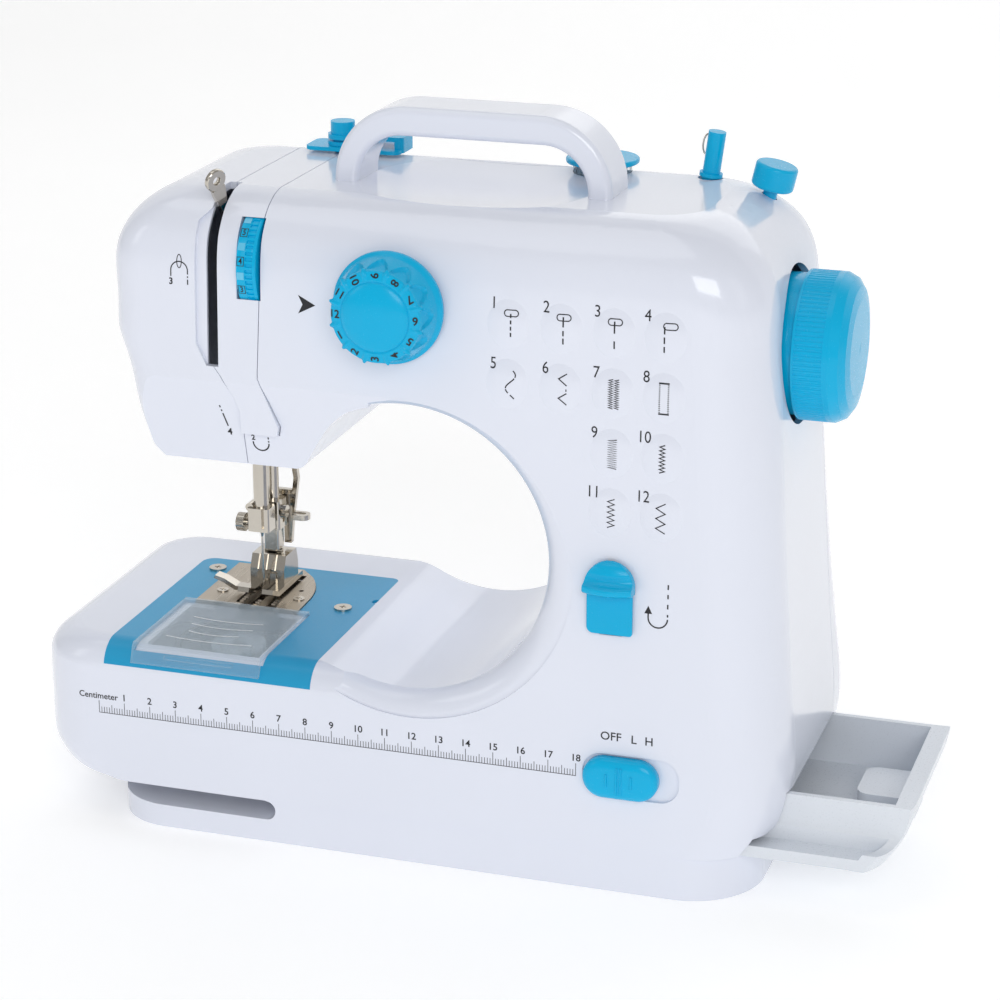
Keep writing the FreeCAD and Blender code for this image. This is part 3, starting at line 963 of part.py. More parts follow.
disc = soften(rod_z(238.4, 240.4, DISC_X, DISC_Y, 13.0), 0.8).fuse(rod_z(224, 238.5, DISC_X, DISC_Y, 3.0))
save(disc, "spool_pin")
TOP_CUTS.append(rod_z(226, 245, DISC_X, DISC_Y, 10.5))
GX, GY = -52.6, 26.5
guide = rounded_block(-65.0, -29.0, 19.5, 34.0, 236.6, 238.0, 3.0)
guide = guide.fuse(rod_z(226, 236.7, GX, GY, 3.0))
box_part = rounded_block(-43.0, -28.4, 22.5, 35.0, 236.7, 242.4, 2.0)
box_part = box_part.cut(block(-41.5, -29.8, 24.0, 40, 238.0, 241.1))
box_part = box_part.cut(block(-41.5, -31.5, 20, 24.5, 238.0, 240.8))
guide = guide.fuse(box_part)
guide = guide.cut(rod_z(226.5, 240, GX, GY, 1.5 + RUNNING))
save(guide, "thread_guide")
TOP_CUTS.append(rod_z(220, 240, GX, GY, 3.1))
groove = rod_z(239.6, 240.4, GX, GY, 9).cut(rod_z(239, 241, GX, GY, 3.6))
knob = rod_z(242.0, 246.6, GX, GY, 4.4).fuse(rod_z(238.1, 242.1, GX, GY, 5.4).cut(groove))
knob = knob.fuse(rod_z(227, 238.2, GX, GY, 1.5))
save(knob, "winding_tension_knob")
for tool in TOP_CUTS:
    front_shell = front_shell.cut(tool)
    rear_shell = rear_shell.cut(tool)
    thread_strip = thread_strip.cut(tool)
save(thread_strip, "thread_strip")

# ---------------------------------------------------------------- electrics
lamp = rounded_block(-56.0, -46.0, -36, -24, 140.2, 145.0, 2.0)
save(lamp, "work_lamp")
power = rod_y(42, 63.0, 100, 40, 5.5).cut(rod_y(52, 70, 100, 40, 3.2)).fuse(rod_y(51, 61, 100, 40, 0.9))
pedal = rod_y(42, 63.0, 82, 40, 4.0).cut(rod_y(50, 70, 82, 40, 1.8))
save(Part.makeCompound([power, pedal]), "back_inlets")

save(front_shell, "front_shell")
save(rear_shell, "rear_shell")
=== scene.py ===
import bmesh
import bpy
import json
import math
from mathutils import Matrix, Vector
from mathutils.bvhtree import BVHTree


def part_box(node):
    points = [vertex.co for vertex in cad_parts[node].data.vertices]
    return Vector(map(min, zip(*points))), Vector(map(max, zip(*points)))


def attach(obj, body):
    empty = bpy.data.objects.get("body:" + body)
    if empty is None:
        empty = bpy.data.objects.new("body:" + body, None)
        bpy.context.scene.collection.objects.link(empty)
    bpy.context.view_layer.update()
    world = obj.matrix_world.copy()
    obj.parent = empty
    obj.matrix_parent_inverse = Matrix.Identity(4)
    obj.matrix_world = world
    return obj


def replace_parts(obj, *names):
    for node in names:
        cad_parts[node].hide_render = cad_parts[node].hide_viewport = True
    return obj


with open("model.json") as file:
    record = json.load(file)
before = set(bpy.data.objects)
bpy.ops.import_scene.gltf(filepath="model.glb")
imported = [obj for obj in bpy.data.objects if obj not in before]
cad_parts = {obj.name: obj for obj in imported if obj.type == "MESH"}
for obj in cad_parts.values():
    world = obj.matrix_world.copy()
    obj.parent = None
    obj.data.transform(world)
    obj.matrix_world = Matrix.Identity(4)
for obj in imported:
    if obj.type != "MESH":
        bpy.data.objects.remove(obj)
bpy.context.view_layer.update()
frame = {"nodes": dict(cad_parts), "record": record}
nodes = frame["nodes"]
scene = bpy.context.scene
MM = 0.001

# ---------------------------------------------------------------- materials
CLOUD_SCALE = 14.0
NOISE_LOW, NOISE_HIGH = 0.3, 0.7
BUMP_DEPTH = 0.3 * MM
COAT_ROUGHNESS = 0.06
EDGE_BLEND = 0.35


def material(name, colour, rough=(0.25, 0.3), metallic=0.0, vary=0.03, grain=900.0, bump=0.02,
             stretch=(1, 1, 1), coat=0.0, alpha=1.0, edge_alpha=None, ior=1.5):
    """A moulded, painted or metal surface: fine grain in colour, roughness and bump, all from 3-D noise."""
    m = bpy.data.materials.new(name)
    m.use_nodes = True
    n, link = m.node_tree.nodes, m.node_tree.links.new
    shader = n["Principled BSDF"]
    place = n.new("ShaderNodeTexCoord")
    mapping = n.new("ShaderNodeMapping")
    mapping.inputs["Scale"].default_value = stretch
    link(place.outputs["Object"], mapping.inputs["Vector"])
    cloud = n.new("ShaderNodeTexNoise")
    cloud.inputs["Scale"].default_value = CLOUD_SCALE
    cloud.inputs["Detail"].default_value = 3.0
    link(place.outputs["Object"], cloud.inputs["Vector"])
    fine = n.new("ShaderNodeTexNoise")
    fine.inputs["Scale"].default_value = grain
    fine.inputs["Detail"].default_value = 4.0
    link(mapping.outputs["Vector"], fine.inputs["Vector"])
    ramp = n.new("ShaderNodeValToRGB")
    ramp.color_ramp.elements[0].position = NOISE_LOW
    ramp.color_ramp.elements[1].position = NOISE_HIGH
    ramp.color_ramp.elements[0].color = [c * (1 - vary) for c in colour] + [1]
    ramp.color_ramp.elements[1].color = [min(1.0, c * (1 + vary)) for c in colour] + [1]
    link(cloud.outputs["Fac"], ramp.inputs["Fac"])
    link(ramp.outputs["Color"], shader.inputs["Base Color"])
    span = n.new("ShaderNodeMapRange")
    span.inputs["From Min"].default_value = NOISE_LOW
    span.inputs["From Max"].default_value = NOISE_HIGH
    span.inputs["To Min"].default_value = rough[0]
    span.inputs["To Max"].default_value = rough[1]
    link(fine.outputs["Fac"], span.inputs["Value"])
    link(span.outputs["Result"], shader.inputs["Roughness"])
    bumps = n.new("ShaderNodeBump")
    bumps.inputs["Strength"].default_value = bump
    bumps.inputs["Distance"].default_value = BUMP_DEPTH
    link(fine.outputs["Fac"], bumps.inputs["Height"])
    link(bumps.outputs["Normal"], shader.inputs["Normal"])
    shader.inputs["Metallic"].default_value = metallic
    shader.inputs["IOR"].default_value = ior
    shader.inputs["Coat Weight"].default_value = coat
    shader.inputs["Coat Roughness"].default_value = COAT_ROUGHNESS
    shader.inputs["Alpha"].default_value = alpha
    if edge_alpha is not None:
        facing = n.new("ShaderNodeLayerWeight")
        facing.inputs["Blend"].default_value = EDGE_BLEND
        seen = n.new("ShaderNodeMapRange")
        seen.inputs["To Min"].default_value = alpha
        seen.inputs["To Max"].default_value = edge_alpha
        link(facing.outputs["Facing"], seen.inputs["Value"])
        link(seen.outputs["Result"], shader.inputs["Alpha"])
    return m


def srgb(r, g, b):
    return [((c / 255 + 0.055) / 1.055) ** 2.4 if c > 10 else c / 255 / 12.92 for c in (r, g, b)]


LOOKS = {
    "body_plastic": dict(colour=srgb(229, 233, 245), rough=(0.13, 0.19), vary=0.010, grain=1400, bump=0.010,
                         coat=0.5),
    "blue_plastic": dict(colour=srgb(0, 178, 226), rough=(0.20, 0.28), vary=0.03, grain=1400, bump=0.014,
                         coat=0.1, ior=1.32),
    "pale_plastic": dict(colour=srgb(224, 229, 236), rough=(0.26, 0.34), vary=0.012, grain=1600, bump=0.02,
                         coat=0.1),
    # bed plate: the same blue as blue_plastic; its colour is darkened here as painted shade for the duller
    # look of the bed top under grazing light, while its higher roughness is the plate's own matte-ish
    # finish
    "bed_blue": dict(colour=srgb(14, 156, 204), rough=(0.34, 0.44), vary=0.03, grain=2200, bump=0.03,
                     coat=0.12),
    "steel": dict(colour=srgb(176, 166, 152), rough=(0.22, 0.38), metallic=1.0, vary=0.07, grain=700,
                  bump=0.05, stretch=(1, 0.06, 1)),
    "bright_metal": dict(colour=srgb(196, 190, 180), rough=(0.09, 0.19), metallic=1.0, vary=0.06, grain=900,
                         bump=0.02),
    "frame_metal": dict(colour=srgb(166, 168, 170), rough=(0.42, 0.6), metallic=1.0, vary=0.08, grain=500,
                        bump=0.15),
    "dark_plastic": dict(colour=srgb(24, 24, 27), rough=(0.4, 0.55), vary=0.1, grain=1500, bump=0.08),
    "belt_rubber": dict(colour=srgb(30, 30, 31), rough=(0.6, 0.75), vary=0.1, grain=1200, bump=0.1),
    "pad_rubber": dict(colour=srgb(60, 61, 64), rough=(0.6, 0.8), vary=0.1, grain=1300, bump=0.15),
    "clear_plastic": dict(colour=srgb(214, 230, 240), rough=(0.04, 0.08), vary=0.01, grain=600, bump=0.006,
                          coat=0.2, alpha=0.09, edge_alpha=0.6, ior=1.3),
    "brass_metal": dict(colour=srgb(206, 176, 112), rough=(0.2, 0.35), metallic=1.0, vary=0.06, grain=800,
                        bump=0.04),
    "board": dict(colour=srgb(28, 92, 58), rough=(0.3, 0.45), vary=0.12, grain=700, bump=0.05, coat=0.3),
    "print_ink": dict(colour=srgb(26, 27, 34), rough=(0.4, 0.5), vary=0.05, grain=2600, bump=0.02),
    "pale_blue": dict(colour=srgb(96, 196, 232), rough=(0.16, 0.24), vary=0.03, grain=1400, bump=0.014,
                      coat=0.4),
    "white_ink": dict(colour=srgb(246, 248, 250), rough=(0.4, 0.5), vary=0.03, grain=2600, bump=0.02),
}
MATS = {name: material(name, **look) for name, look in LOOKS.items()}
# printed pieces belong to the slot of the part that they are printed on
record = frame["record"]
for entry in record["subparts"]:
    node = nodes[entry["node"]]
    node.data.materials.clear()
    node.data.materials.append(MATS[entry["material_slot"]])

# ---------------------------------------------------------------- camera, light, floor
CAMERA_PLACE = (0.3177, -0.9344, 0.4573)
CAMERA_TARGET = (0.0155, 0.0, 0.1178)
LENS_MM = 103.96
SENSOR_MM = 36.0
WORLD_STRENGTH = 0.42
# name, place, target, size, watts
LAMPS = (
    ("softbox_top", (-0.25, -0.15, 1.3), (0, 0, 0.1), (0.9, 0.7), 1.6),
    ("softbox_left", (-1.2, -1.0, 0.9), (0, 0, 0.12), (0.5, 0.9), 1.5),
    ("softbox_front", (0.75, -1.8, 1.05), (0, 0, 0.12), (1.2, 0.9), 12.5),
    ("softbox_right", (1.4, -0.5, 0.7), (0.05, 0, 0.12), (0.4, 0.9), 0.4),
    ("softbox_back", (0.2, 1.3, 1.1), (0, 0, 0.15), (1.4, 0.8), 2),
)
FLOOR_HALF_WIDTH = 4
FLOOR_FRONT = -3.0
BEND_START, BEND_R = 0.9, 0.8
WALL_TOP = 3.5
PAPER_GLOW = 0.28

camera_data = bpy.data.cameras.new("camera")
camera_data.lens = LENS_MM
camera_data.sensor_width = SENSOR_MM
camera = bpy.data.objects.new("camera", camera_data)
scene.collection.objects.link(camera)
camera.location = CAMERA_PLACE
aim = Vector(CAMERA_TARGET) - camera.location
camera.rotation_mode = "QUATERNION"
camera.rotation_quaternion = aim.to_track_quat("-Z", "Y")
scene.camera = camera


def light(name, place, target, size, power):
    data = bpy.data.lights.new(name, "AREA")
    data.shape = "RECTANGLE"
    data.size, data.size_y = size
    data.energy = power
    lamp = bpy.data.objects.new(name, data)
    scene.collection.objects.link(lamp)
    lamp.location = place
    lamp.rotation_mode = "QUATERNION"
    lamp.rotation_quaternion = (Vector(target) - Vector(place)).to_track_quat("-Z", "Y")


for lamp_row in LAMPS:
    light(*lamp_row)
scene.view_settings.view_transform = "Standard"
world = bpy.data.worlds.new("studio")
scene.world = world
world.use_nodes = True
background = world.node_tree.nodes["Background"]
background.inputs["Color"].default_value = (1, 1, 1, 1)
background.inputs["Strength"].default_value = WORLD_STRENGTH

# the floor runs flat under the machine and bends up behind it, as (y, z)
sweep = [(FLOOR_FRONT, 0.0), (BEND_START, 0.0)]
for degrees in range(10, 91, 10):
    a = math.radians(degrees)
    sweep.append((BEND_START + BEND_R * math.sin(a), BEND_R - BEND_R * math.cos(a)))
sweep.append((BEND_START + BEND_R, WALL_TOP))
bm = bmesh.new()
rows = [[bm.verts.new((x, y, z)) for x in (-FLOOR_HALF_WIDTH, FLOOR_HALF_WIDTH)] for y, z in sweep]
for a, b in zip(rows, rows[1:]):
    bm.faces.new((a[0], a[1], b[1], b[0]))
floor_mesh = bpy.data.meshes.new("floor")
bm.to_mesh(floor_mesh)
bm.free()
for p in floor_mesh.polygons:
    p.use_smooth = True
floor = bpy.data.objects.new("floor", floor_mesh)
scene.collection.objects.link(floor)
paper = material("floor_paper", (0.95, 0.95, 0.95), (0.75, 0.85), vary=0.004, grain=300, bump=0.01, ior=1.1)
paper_shader = paper.node_tree.nodes["Principled BSDF"]
paper_shader.inputs["Emission Color"].default_value = (1, 1, 1, 1)
paper_shader.inputs["Emission Strength"].default_value = PAPER_GLOW
floor.data.materials.append(paper)

# ---------------------------------------------------------------- small mesh helpers
BEVEL_STEPS = 3
BEVEL_FROM_DEGREES = 35


def add(bm, name, slot, body, smooth=True, bevel=0.0, angle=40.0):
    """Turns a bmesh into a visible piece that rides on a body; angle is where its shading turns sharp."""
    mesh = bpy.data.meshes.new(name)
    bmesh.ops.recalc_face_normals(bm, faces=bm.faces)
    bm.to_mesh(mesh)
    bm.free()
    obj = bpy.data.objects.new(name, mesh)
    scene.collection.objects.link(obj)
    if bevel:
        mod = obj.modifiers.new("edges", "BEVEL")
        mod.width = bevel
        mod.segments = BEVEL_STEPS
        mod.limit_method = "ANGLE"
        mod.angle_limit = math.radians(BEVEL_FROM_DEGREES)
        mod.harden_normals = False
    mesh.materials.append(MATS[slot])
    if smooth:
        for p in mesh.polygons:
            p.use_smooth = True
        mesh.set_sharp_from_angle(angle=math.radians(angle))
    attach(obj, body)
    return obj


def step(value, start, end):
    """Rises smoothly from 0 at start to 1 at end."""
    t = min(max((value - start) / (end - start), 0.0), 1.0)
    return t * t * (3 - 2 * t)


def arc_points(cx, cz, r, start, end, pitch):
    """Points round a centre, from start to end in degrees."""
    turns = (math.radians(a) for a in range(start, end, pitch))
    return [(cx + r * math.cos(a), cz + r * math.sin(a)) for a in turns]


def basis(axis):
    """Two directions across an axis, and the axis."""
    z = Vector(axis).normalized()
    x = Vector((1, 0, 0)) if abs(z.x) < 0.9 else Vector((0, 0, 1))
    x = (x - z * x.dot(z)).normalized()
    return x, z.cross(x), z


def lathe(bm, profile, origin, axis, segments=96, shape=None):
    """Turns (radius, height) pairs round an axis; shape(radius, height, angle) may change both."""
    x, y, z = basis(axis)
    rings = []
    for r, h in profile:
        if r < 1e-7:
            rings.append([bm.verts.new(Vector(origin) + z * h)])
            continue
        ring = []
        for k in range(segments):
            a = 2 * math.pi * k / segments
            q, t = shape(r, h, a) if shape else (r, h)
            out = x * (q * math.cos(a)) + y * (q * math.sin(a))
            ring.append(bm.verts.new(Vector(origin) + z * t + out))
        rings.append(ring)
    for a, b in zip(rings, rings[1:]):
        for k in range(segments):
            j = (k + 1) % segments
            corners = [a[k % len(a)], a[j % len(a)], b[j % len(b)], b[k % len(b)]]
            corners = [c for n, c in enumerate(corners) if c not in corners[:n]]
            if len(corners) > 2:
                bm.faces.new(corners)


def skin(bm, rings):
    """Closes a run of equal rings with sides and two ends."""
    for a, b in zip(rings, rings[1:]):
        for k in range(len(a)):
            j = (k + 1) % len(a)
            bm.faces.new((a[k], a[j], b[j], b[k]))
    bm.faces.new(rings[0])
    bm.faces.new(rings[-1])


def tube(bm, points, radius, segments=10):
    """A round wire through points."""
    pts = [Vector(p) for p in points]
    up = None
    rings = []
    for k, p in enumerate(pts):
        t = (pts[min(k + 1, len(pts) - 1)] - pts[max(k - 1, 0)]).normalized()
        if up is None:
            up = basis(t)[0]
        up = (up - t * up.dot(t)).normalized()
        side = t.cross(up)
        turns = (2 * math.pi * n / segments for n in range(segments))
        rings.append([bm.verts.new(p + (up * math.cos(a) + side * math.sin(a)) * radius) for a in turns])
    skin(bm, rings)


def plate(bm, outline, low, high, place):
    """A plate: a 2-D outline between two heights; place(u, w, v) takes across, forward and up."""
    skin(bm, [[bm.verts.new(place(u, w, v)) for u, v in outline] for w in (low, high)])

# ---------------------------------------------------------------- printing
LIFT = 0.06 * MM
INK_FINENESS = 3


def tree_of(*names):
    points, faces = [], []
    for name in names:
        mesh = nodes[name].data
        base = len(points)
        points += [v.co.copy() for v in mesh.vertices]
        faces += [[base + i for i in p.vertices] for p in mesh.polygons]
    return BVHTree.FromPolygons(points, faces)


FRONT = tree_of("front_shell", "head_cover", "thread_strip")
BEFORE_ALL = -0.2


def seen_from_front(tree, x, z, lift):
    """The point of a surface straight behind (x, z), with room for the ink."""
    hit = tree.ray_cast(Vector((x, BEFORE_ALL, z)), Vector((0, 1, 0)))[0]
    return Vector((x, hit.y - lift, z)) if hit else None


def on_front(x, z):
    return seen_from_front(FRONT, x, z, LIFT)


def stroke(bm, points, width, closed=False):
    """A flat band of ink along points in (x, z)."""
    pts = [Vector((p[0], p[1])) for p in points]
    count = len(pts)
    rail = []
    for k, p in enumerate(pts):
        before = pts[k - 1] if (k or closed) else p
        after = pts[(k + 1) % count] if (k < count - 1 or closed) else p
        d1, d2 = (p - before), (after - p)
        d1 = d1.normalized() if d1.length > 1e-9 else d2.normalized()
        d2 = d2.normalized() if d2.length > 1e-9 else d1
        n1, n2 = Vector((-d1.y, d1.x)), Vector((-d2.y, d2.x))
        m = (n1 + n2)
        m = m.normalized() if m.length > 1e-6 else n1
        reach = 0.5 * width / max(0.45, m.dot(n1))
        rail.append((p + m * reach, p - m * reach))
    verts = [(bm.verts.new((a.x, 0, a.y)), bm.verts.new((b.x, 0, b.y))) for a, b in rail]
    for k in range(count if closed else count - 1):
        a, b = verts[k], verts[(k + 1) % count]
        bm.faces.new((a[0], b[0], b[1], a[1]))


def dashes(bm, x, z, spans, width):
    """Upright dashes on the line x, each from one height above z to another, in mm."""
    for z0, z1 in spans:
        stroke(bm, [(x, z + z0 * MM), (x, z + z1 * MM)], width)


def letters(bm, text, x, z, size, turn=0.0, weight=0.0, squeeze=1.0):
    """Digits or a short word, centred at (x, z)."""
    curve = bpy.data.curves.new("letters", "FONT")
    curve.body = text
    curve.size = size
    curve.align_x, curve.align_y = "CENTER", "CENTER"
    curve.offset = weight
    curve.resolution_u = INK_FINENESS
    temp = bpy.data.objects.new("letters", curve)
    scene.collection.objects.link(temp)
    graph = bpy.context.evaluated_depsgraph_get()
    mesh = bpy.data.meshes.new_from_object(temp.evaluated_get(graph))
    c, s = math.cos(turn), math.sin(turn)
    points = [bm.verts.new((x + (v.co.x * c - v.co.y * s) * squeeze, 0, z + v.co.x * s + v.co.y * c))
              for v in mesh.vertices]
    for p in mesh.polygons:
        bm.faces.new([points[i] for i in p.vertices])
    bpy.data.objects.remove(temp)
    bpy.data.curves.remove(curve)
    bpy.data.meshes.remove(mesh)


def printed(bm, name, body, place=on_front, cut=2.0 * MM, ink="print_ink"):
    """Lays flat ink on a surface and keeps what lands there."""
    bmesh.ops.triangulate(bm, faces=bm.faces)
    for _ in range(2):
        long_edges = [e for e in bm.edges if e.calc_length() > cut]
        if long_edges:
            bmesh.ops.subdivide_edges(bm, edges=long_edges, cuts=1)
            bmesh.ops.triangulate(bm, faces=bm.faces)
    gone = []
    for v in bm.verts:
        p = place(v.co.x, v.co.z)
        if p is None:
            gone.append(v)
        else:
            v.co = p
    bmesh.ops.delete(bm, geom=gone, context="VERTS")
    return add(bm, name, ink, body, smooth=False)


# ---------------------------------------------------------------- ruler along the foot of the casing
RULER_X, RULER_Z = -117.4 * MM, 42.4 * MM
RULER_CM = 18
RULER_LINE, TICK_LINE = 0.22 * MM, 0.2 * MM
TICK_CM, TICK_HALF, TICK_MM = 4.6 * MM, 3.3 * MM, 2.3 * MM
bm = bmesh.new()
stroke(bm, [(RULER_X - 0.1 * MM, RULER_Z), (RULER_X + (RULER_CM * 10 + 0.1) * MM, RULER_Z)], RULER_LINE)
for tick in range(RULER_CM * 10 + 1):
    tall = TICK_CM if tick % 10 == 0 else (TICK_HALF if tick % 5 == 0 else TICK_MM)
    x = RULER_X + tick * MM
    stroke(bm, [(x, RULER_Z), (x, RULER_Z + tall)], TICK_LINE)
for number in range(1, RULER_CM + 1):
    letters(bm, str(number), RULER_X + number * 10 * MM, RULER_Z + 6.6 * MM, 3.6 * MM, weight=0.05 * MM)
letters(bm, "Centimeter", RULER_X - 0.2 * MM, RULER_Z + 6.4 * MM, 3.3 * MM, weight=0.04 * MM)
printed(bm, "ruler_print", "casing")

# ---------------------------------------------------------------- numbered stitch symbols, in mm
COLUMNS = [36.8, 55.2, 73.3, 90.8]
SHIFT = [1.3, 1.0, 0.4, 0.0]
ROWS = [200.5, 180.0, 159.5, 139.0]
# column and row of the symbols 1 to 12
CELLS = [(0, 0), (1, 0), (2, 0), (3, 0), (0, 1), (1, 1), (2, 1), (3, 1), (2, 2), (3, 2), (2, 3), (3, 3)]
NUMBER_SIZE = 5.7
NUMBER_RISE = 6.7
NUMBER_LEFT = [-6.2, -6.2, -6.4, -6.4]
LOOP_R, LOOP_STRETCH, LOOP_RISE = 1.1, 1.3, 3.8
PEN_FINE, PEN_THIN, PEN_MEDIUM, PEN_BOLD = 0.36, 0.4, 0.42, 0.5
PEN_SATIN, PEN_TICK, PEN_BAR = 0.34, 0.3, 0.55
# the dashes below the loop of each of the four straight stitches
STRAIGHT = [[(3.6, 2.2), (1.4, 0.1), (-0.7, -2.0), (-2.8, -4.2)], [(4.0, 0.6), (-0.6, -2.4), (-3.2, -5.2)],
            [(4.0, 0.0), (-2.6, -5.2)], [(3.6, 1.2), (0.2, -2.0), (-3.0, -5.0)]]
ink = bmesh.new()


def at(column, row, dx, dz):
    return ((COLUMNS[column] + SHIFT[column] + dx) * MM, (ROWS[row] + dz) * MM)


def zigzag(column, row, half, tall, turns, pen, dx=0.0):
    """A zigzag from tall above the middle to tall below it."""
    points = [at(column, row, dx + (-half if k % 2 else half), tall - 2 * tall * k / turns)
              for k in range(turns + 1)]
    stroke(ink, points, pen * MM)


for n, spans in enumerate(STRAIGHT):
    side = 1.6 if n == 3 else 0.0
    loop = []
    for k in range(24):
        a = 2 * math.pi * k / 24
        middle = side + (LOOP_STRETCH if math.cos(a) > 0 else -LOOP_STRETCH)
        loop.append(at(n, 0, middle + LOOP_R * math.cos(a), LOOP_RISE + LOOP_R * math.sin(a)))
    stroke(ink, loop, PEN_FINE * MM, closed=True)
    x = -0.2 if n < 3 else -0.4
    for z0, z1 in spans:
        stroke(ink, [at(n, 0, x, z0), at(n, 0, x, z1)], PEN_BOLD * MM)
# 5: a dashed wave
wave = [at(0, 1, 1.7 * math.sin(0.5 + 2.1 * math.pi * k / 30), 4.8 - 9.6 * k / 30) for k in range(31)]
for first, last in ((0, 7), (8, 19), (20, 24), (26, 30)):
    stroke(ink, wave[first:last + 1], PEN_MEDIUM * MM)
# 6: two open wedges
for z in (4.2, -2.4):
    stroke(ink, [at(1, 1, 1.4, z + 1.2), at(1, 1, -1.4, z - 0.6), at(1, 1, 1.4, z - 2.8)], PEN_THIN * MM)
stroke(ink, [at(1, 1, 1.2, 0.2), at(1, 1, 1.2, -0.6)], PEN_FINE * MM)
# 7: two dense rows side by side
for dx in (-1.0, 1.0):
    zigzag(2, 1, 0.75, 5.0, 26, PEN_FINE, dx)
# 8: a ladder of ticks between two bars
for x in (-1.5, 1.5):
    for k in range(15):
        z = 4.6 - 9.2 * k / 14
        stroke(ink, [at(3, 1, x - 0.25, z), at(3, 1, x + 0.25, z)], PEN_TICK * MM)
for z in (5.2, -5.2):
    stroke(ink, [at(3, 1, -1.8, z), at(3, 1, 1.8, z)], PEN_BAR * MM)
# 9 to 12: zigzags, from dense to wide
zigzag(2, 2, 1.5, 5.0, 26, PEN_SATIN)
zigzag(3, 2, 0.9, 4.8, 15, PEN_MEDIUM)
zigzag(2, 3, 1.2, 5.0, 11, PEN_FINE)
zigzag(3, 3, 1.6, 5.2, 6, PEN_FINE)
for index, (c, r) in enumerate(CELLS):
    x, z = at(c, r, NUMBER_LEFT[r], NUMBER_RISE)
    letters(ink, str(index + 1), x, z, NUMBER_SIZE * MM, squeeze=0.86)
printed(ink, "stitch_print", "casing", cut=1.5 * MM)

# ---------------------------------------------------------------- signs on the front
LINE = 0.5 * MM
bm = bmesh.new()
# marker at the dial: an arrow head with a notch
tip_x, tip_z = -31.5 * MM, 201.0 * MM
points = [(0, 0), (-6.2, 3.2), (-4.6, 0), (-6.2, -3.2)]
corners = [bm.verts.new((tip_x + dx * MM, 0, tip_z + dz * MM)) for dx, dz in points]
bm.faces.new(corners[:3])
bm.faces.new((corners[0], corners[2], corners[3]))
# reverse sign: a hook with an arrow head on its left
cx, cz, r = 90.6 * MM, 103.6 * MM, 3.35 * MM
stroke(bm, [(cx - r, cz + 1.6 * MM)] + arc_points(cx, cz, r, 180, 361, 12), LINE)
dashes(bm, cx + r, cz, ((0.8, 1.7), (3.7, 5.3), (7.3, 8.8), (10.6, 12.3)), LINE)
points = [(-1.35, 1.4), (1.35, 1.4), (0, 4.2)]
bm.faces.new([bm.verts.new((cx - r + dx * MM, 0, cz + dz * MM)) for dx, dz in points])
# labels over the switch
for text, x, z in (("OFF", 75.0, 58.6), ("L", 83.1, 58.4), ("H", 88.5, 58.4)):
    letters(bm, text, x * MM, z * MM, 4.3 * MM, weight=0.03 * MM)
# threading mark 3: an arch with a loop through its top
cx, cz, r = -81.3 * MM, 209.2 * MM, 3.1 * MM
stroke(bm, [(cx - r, cz - 2.2 * MM)] + arc_points(cx, cz, r, 180, -1, -12), 0.4 * MM)
dashes(bm, cx + r, cz, ((0.0, -1.2), (-1.8, -2.4), (-3.0, -4.8)), 0.42 * MM)
turns = [2 * math.pi * k / 20 for k in range(20)]
ring = [(cx + 0.85 * MM * math.cos(a), cz + 3.2 * MM + 2.3 * MM * math.sin(a)) for a in turns]
stroke(bm, ring, 0.3 * MM, closed=True)
letters(bm, "3", cx - r, cz - 4.0 * MM, 3.2 * MM, weight=0.08 * MM)
printed(bm, "marks_print", "casing", cut=1.5 * MM)

# ---------------------------------------------------------------- thread signs
# 4 beside the strip
bm = bmesh.new()
for part in ((0.0, 0.1), (0.2, 0.28), (0.38, 1.0)):
    ends = [((-68.2 + 2.3 * t) * MM, (162.1 - 7.8 * t) * MM) for t in part]
    stroke(bm, ends, LINE)
letters(bm, "4", -65.5 * MM, 152.1 * MM, 3.4 * MM, weight=0.1 * MM)
# 2 below the strip, beside a hook
cx, cz, r = -54.3 * MM, 148.8 * MM, 2.9 * MM
stroke(bm, [(cx - r, cz + 0.4 * MM)] + arc_points(cx, cz, r, 180, 361, 12), LINE)
dashes(bm, cx + r, cz, ((0.5, 1.1), (1.7, 2.5)), LINE)
letters(bm, "2", cx - r + 0.2 * MM, cz + 1.9 * MM, 2.8 * MM, weight=0.08 * MM)
printed(bm, "thread_signs", "casing", cut=1.5 * MM)

# ---------------------------------------------------------------- pattern dial
DIAL_TALL = 17.2
DIAL_COUNT = 12
RIDGE_FROM, RIDGE_TO = 0.74, 0.96
ARCH_TOP, ARCH_RISE = 13.2, 6.6
NUMBERS_R = 14.2 * MM
low, high = (Vector(v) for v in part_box("pattern_dial"))
DIAL = Vector((0.5 * (low.x + high.x), low.y + DIAL_TALL * MM, 0.5 * (low.z + high.z)))
PITCH = 2 * math.pi / DIAL_COUNT


def dial_form(r, h, a):
    """Twelve arched flats run up the skirt, with a pointed ridge between each two."""
    off = abs((a / PITCH + 0.5) % 1.0 - 0.5) * 2
    h_mm, r_mm = h / MM, r / MM
    ridge = step(off, RIDGE_FROM, RIDGE_TO)
    if r_mm > 16 and h_mm > 4:
        arch = ARCH_TOP - ARCH_RISE * (1 - off ** 1.8)
        inside = step(h_mm, arch, arch + 0.7) * (1 - ridge)
        rim = step(h_mm, arch - 0.9, arch) * (1 - step(h_mm, arch, arch + 0.5)) * (1 - ridge)
        return r - (1.0 * inside - 0.22 * rim) * MM, h
    if r_mm > 13.9 and h_mm > 12:
        return r + 0.5 * MM * ridge, h + 0.5 * MM * ridge
    return r, h


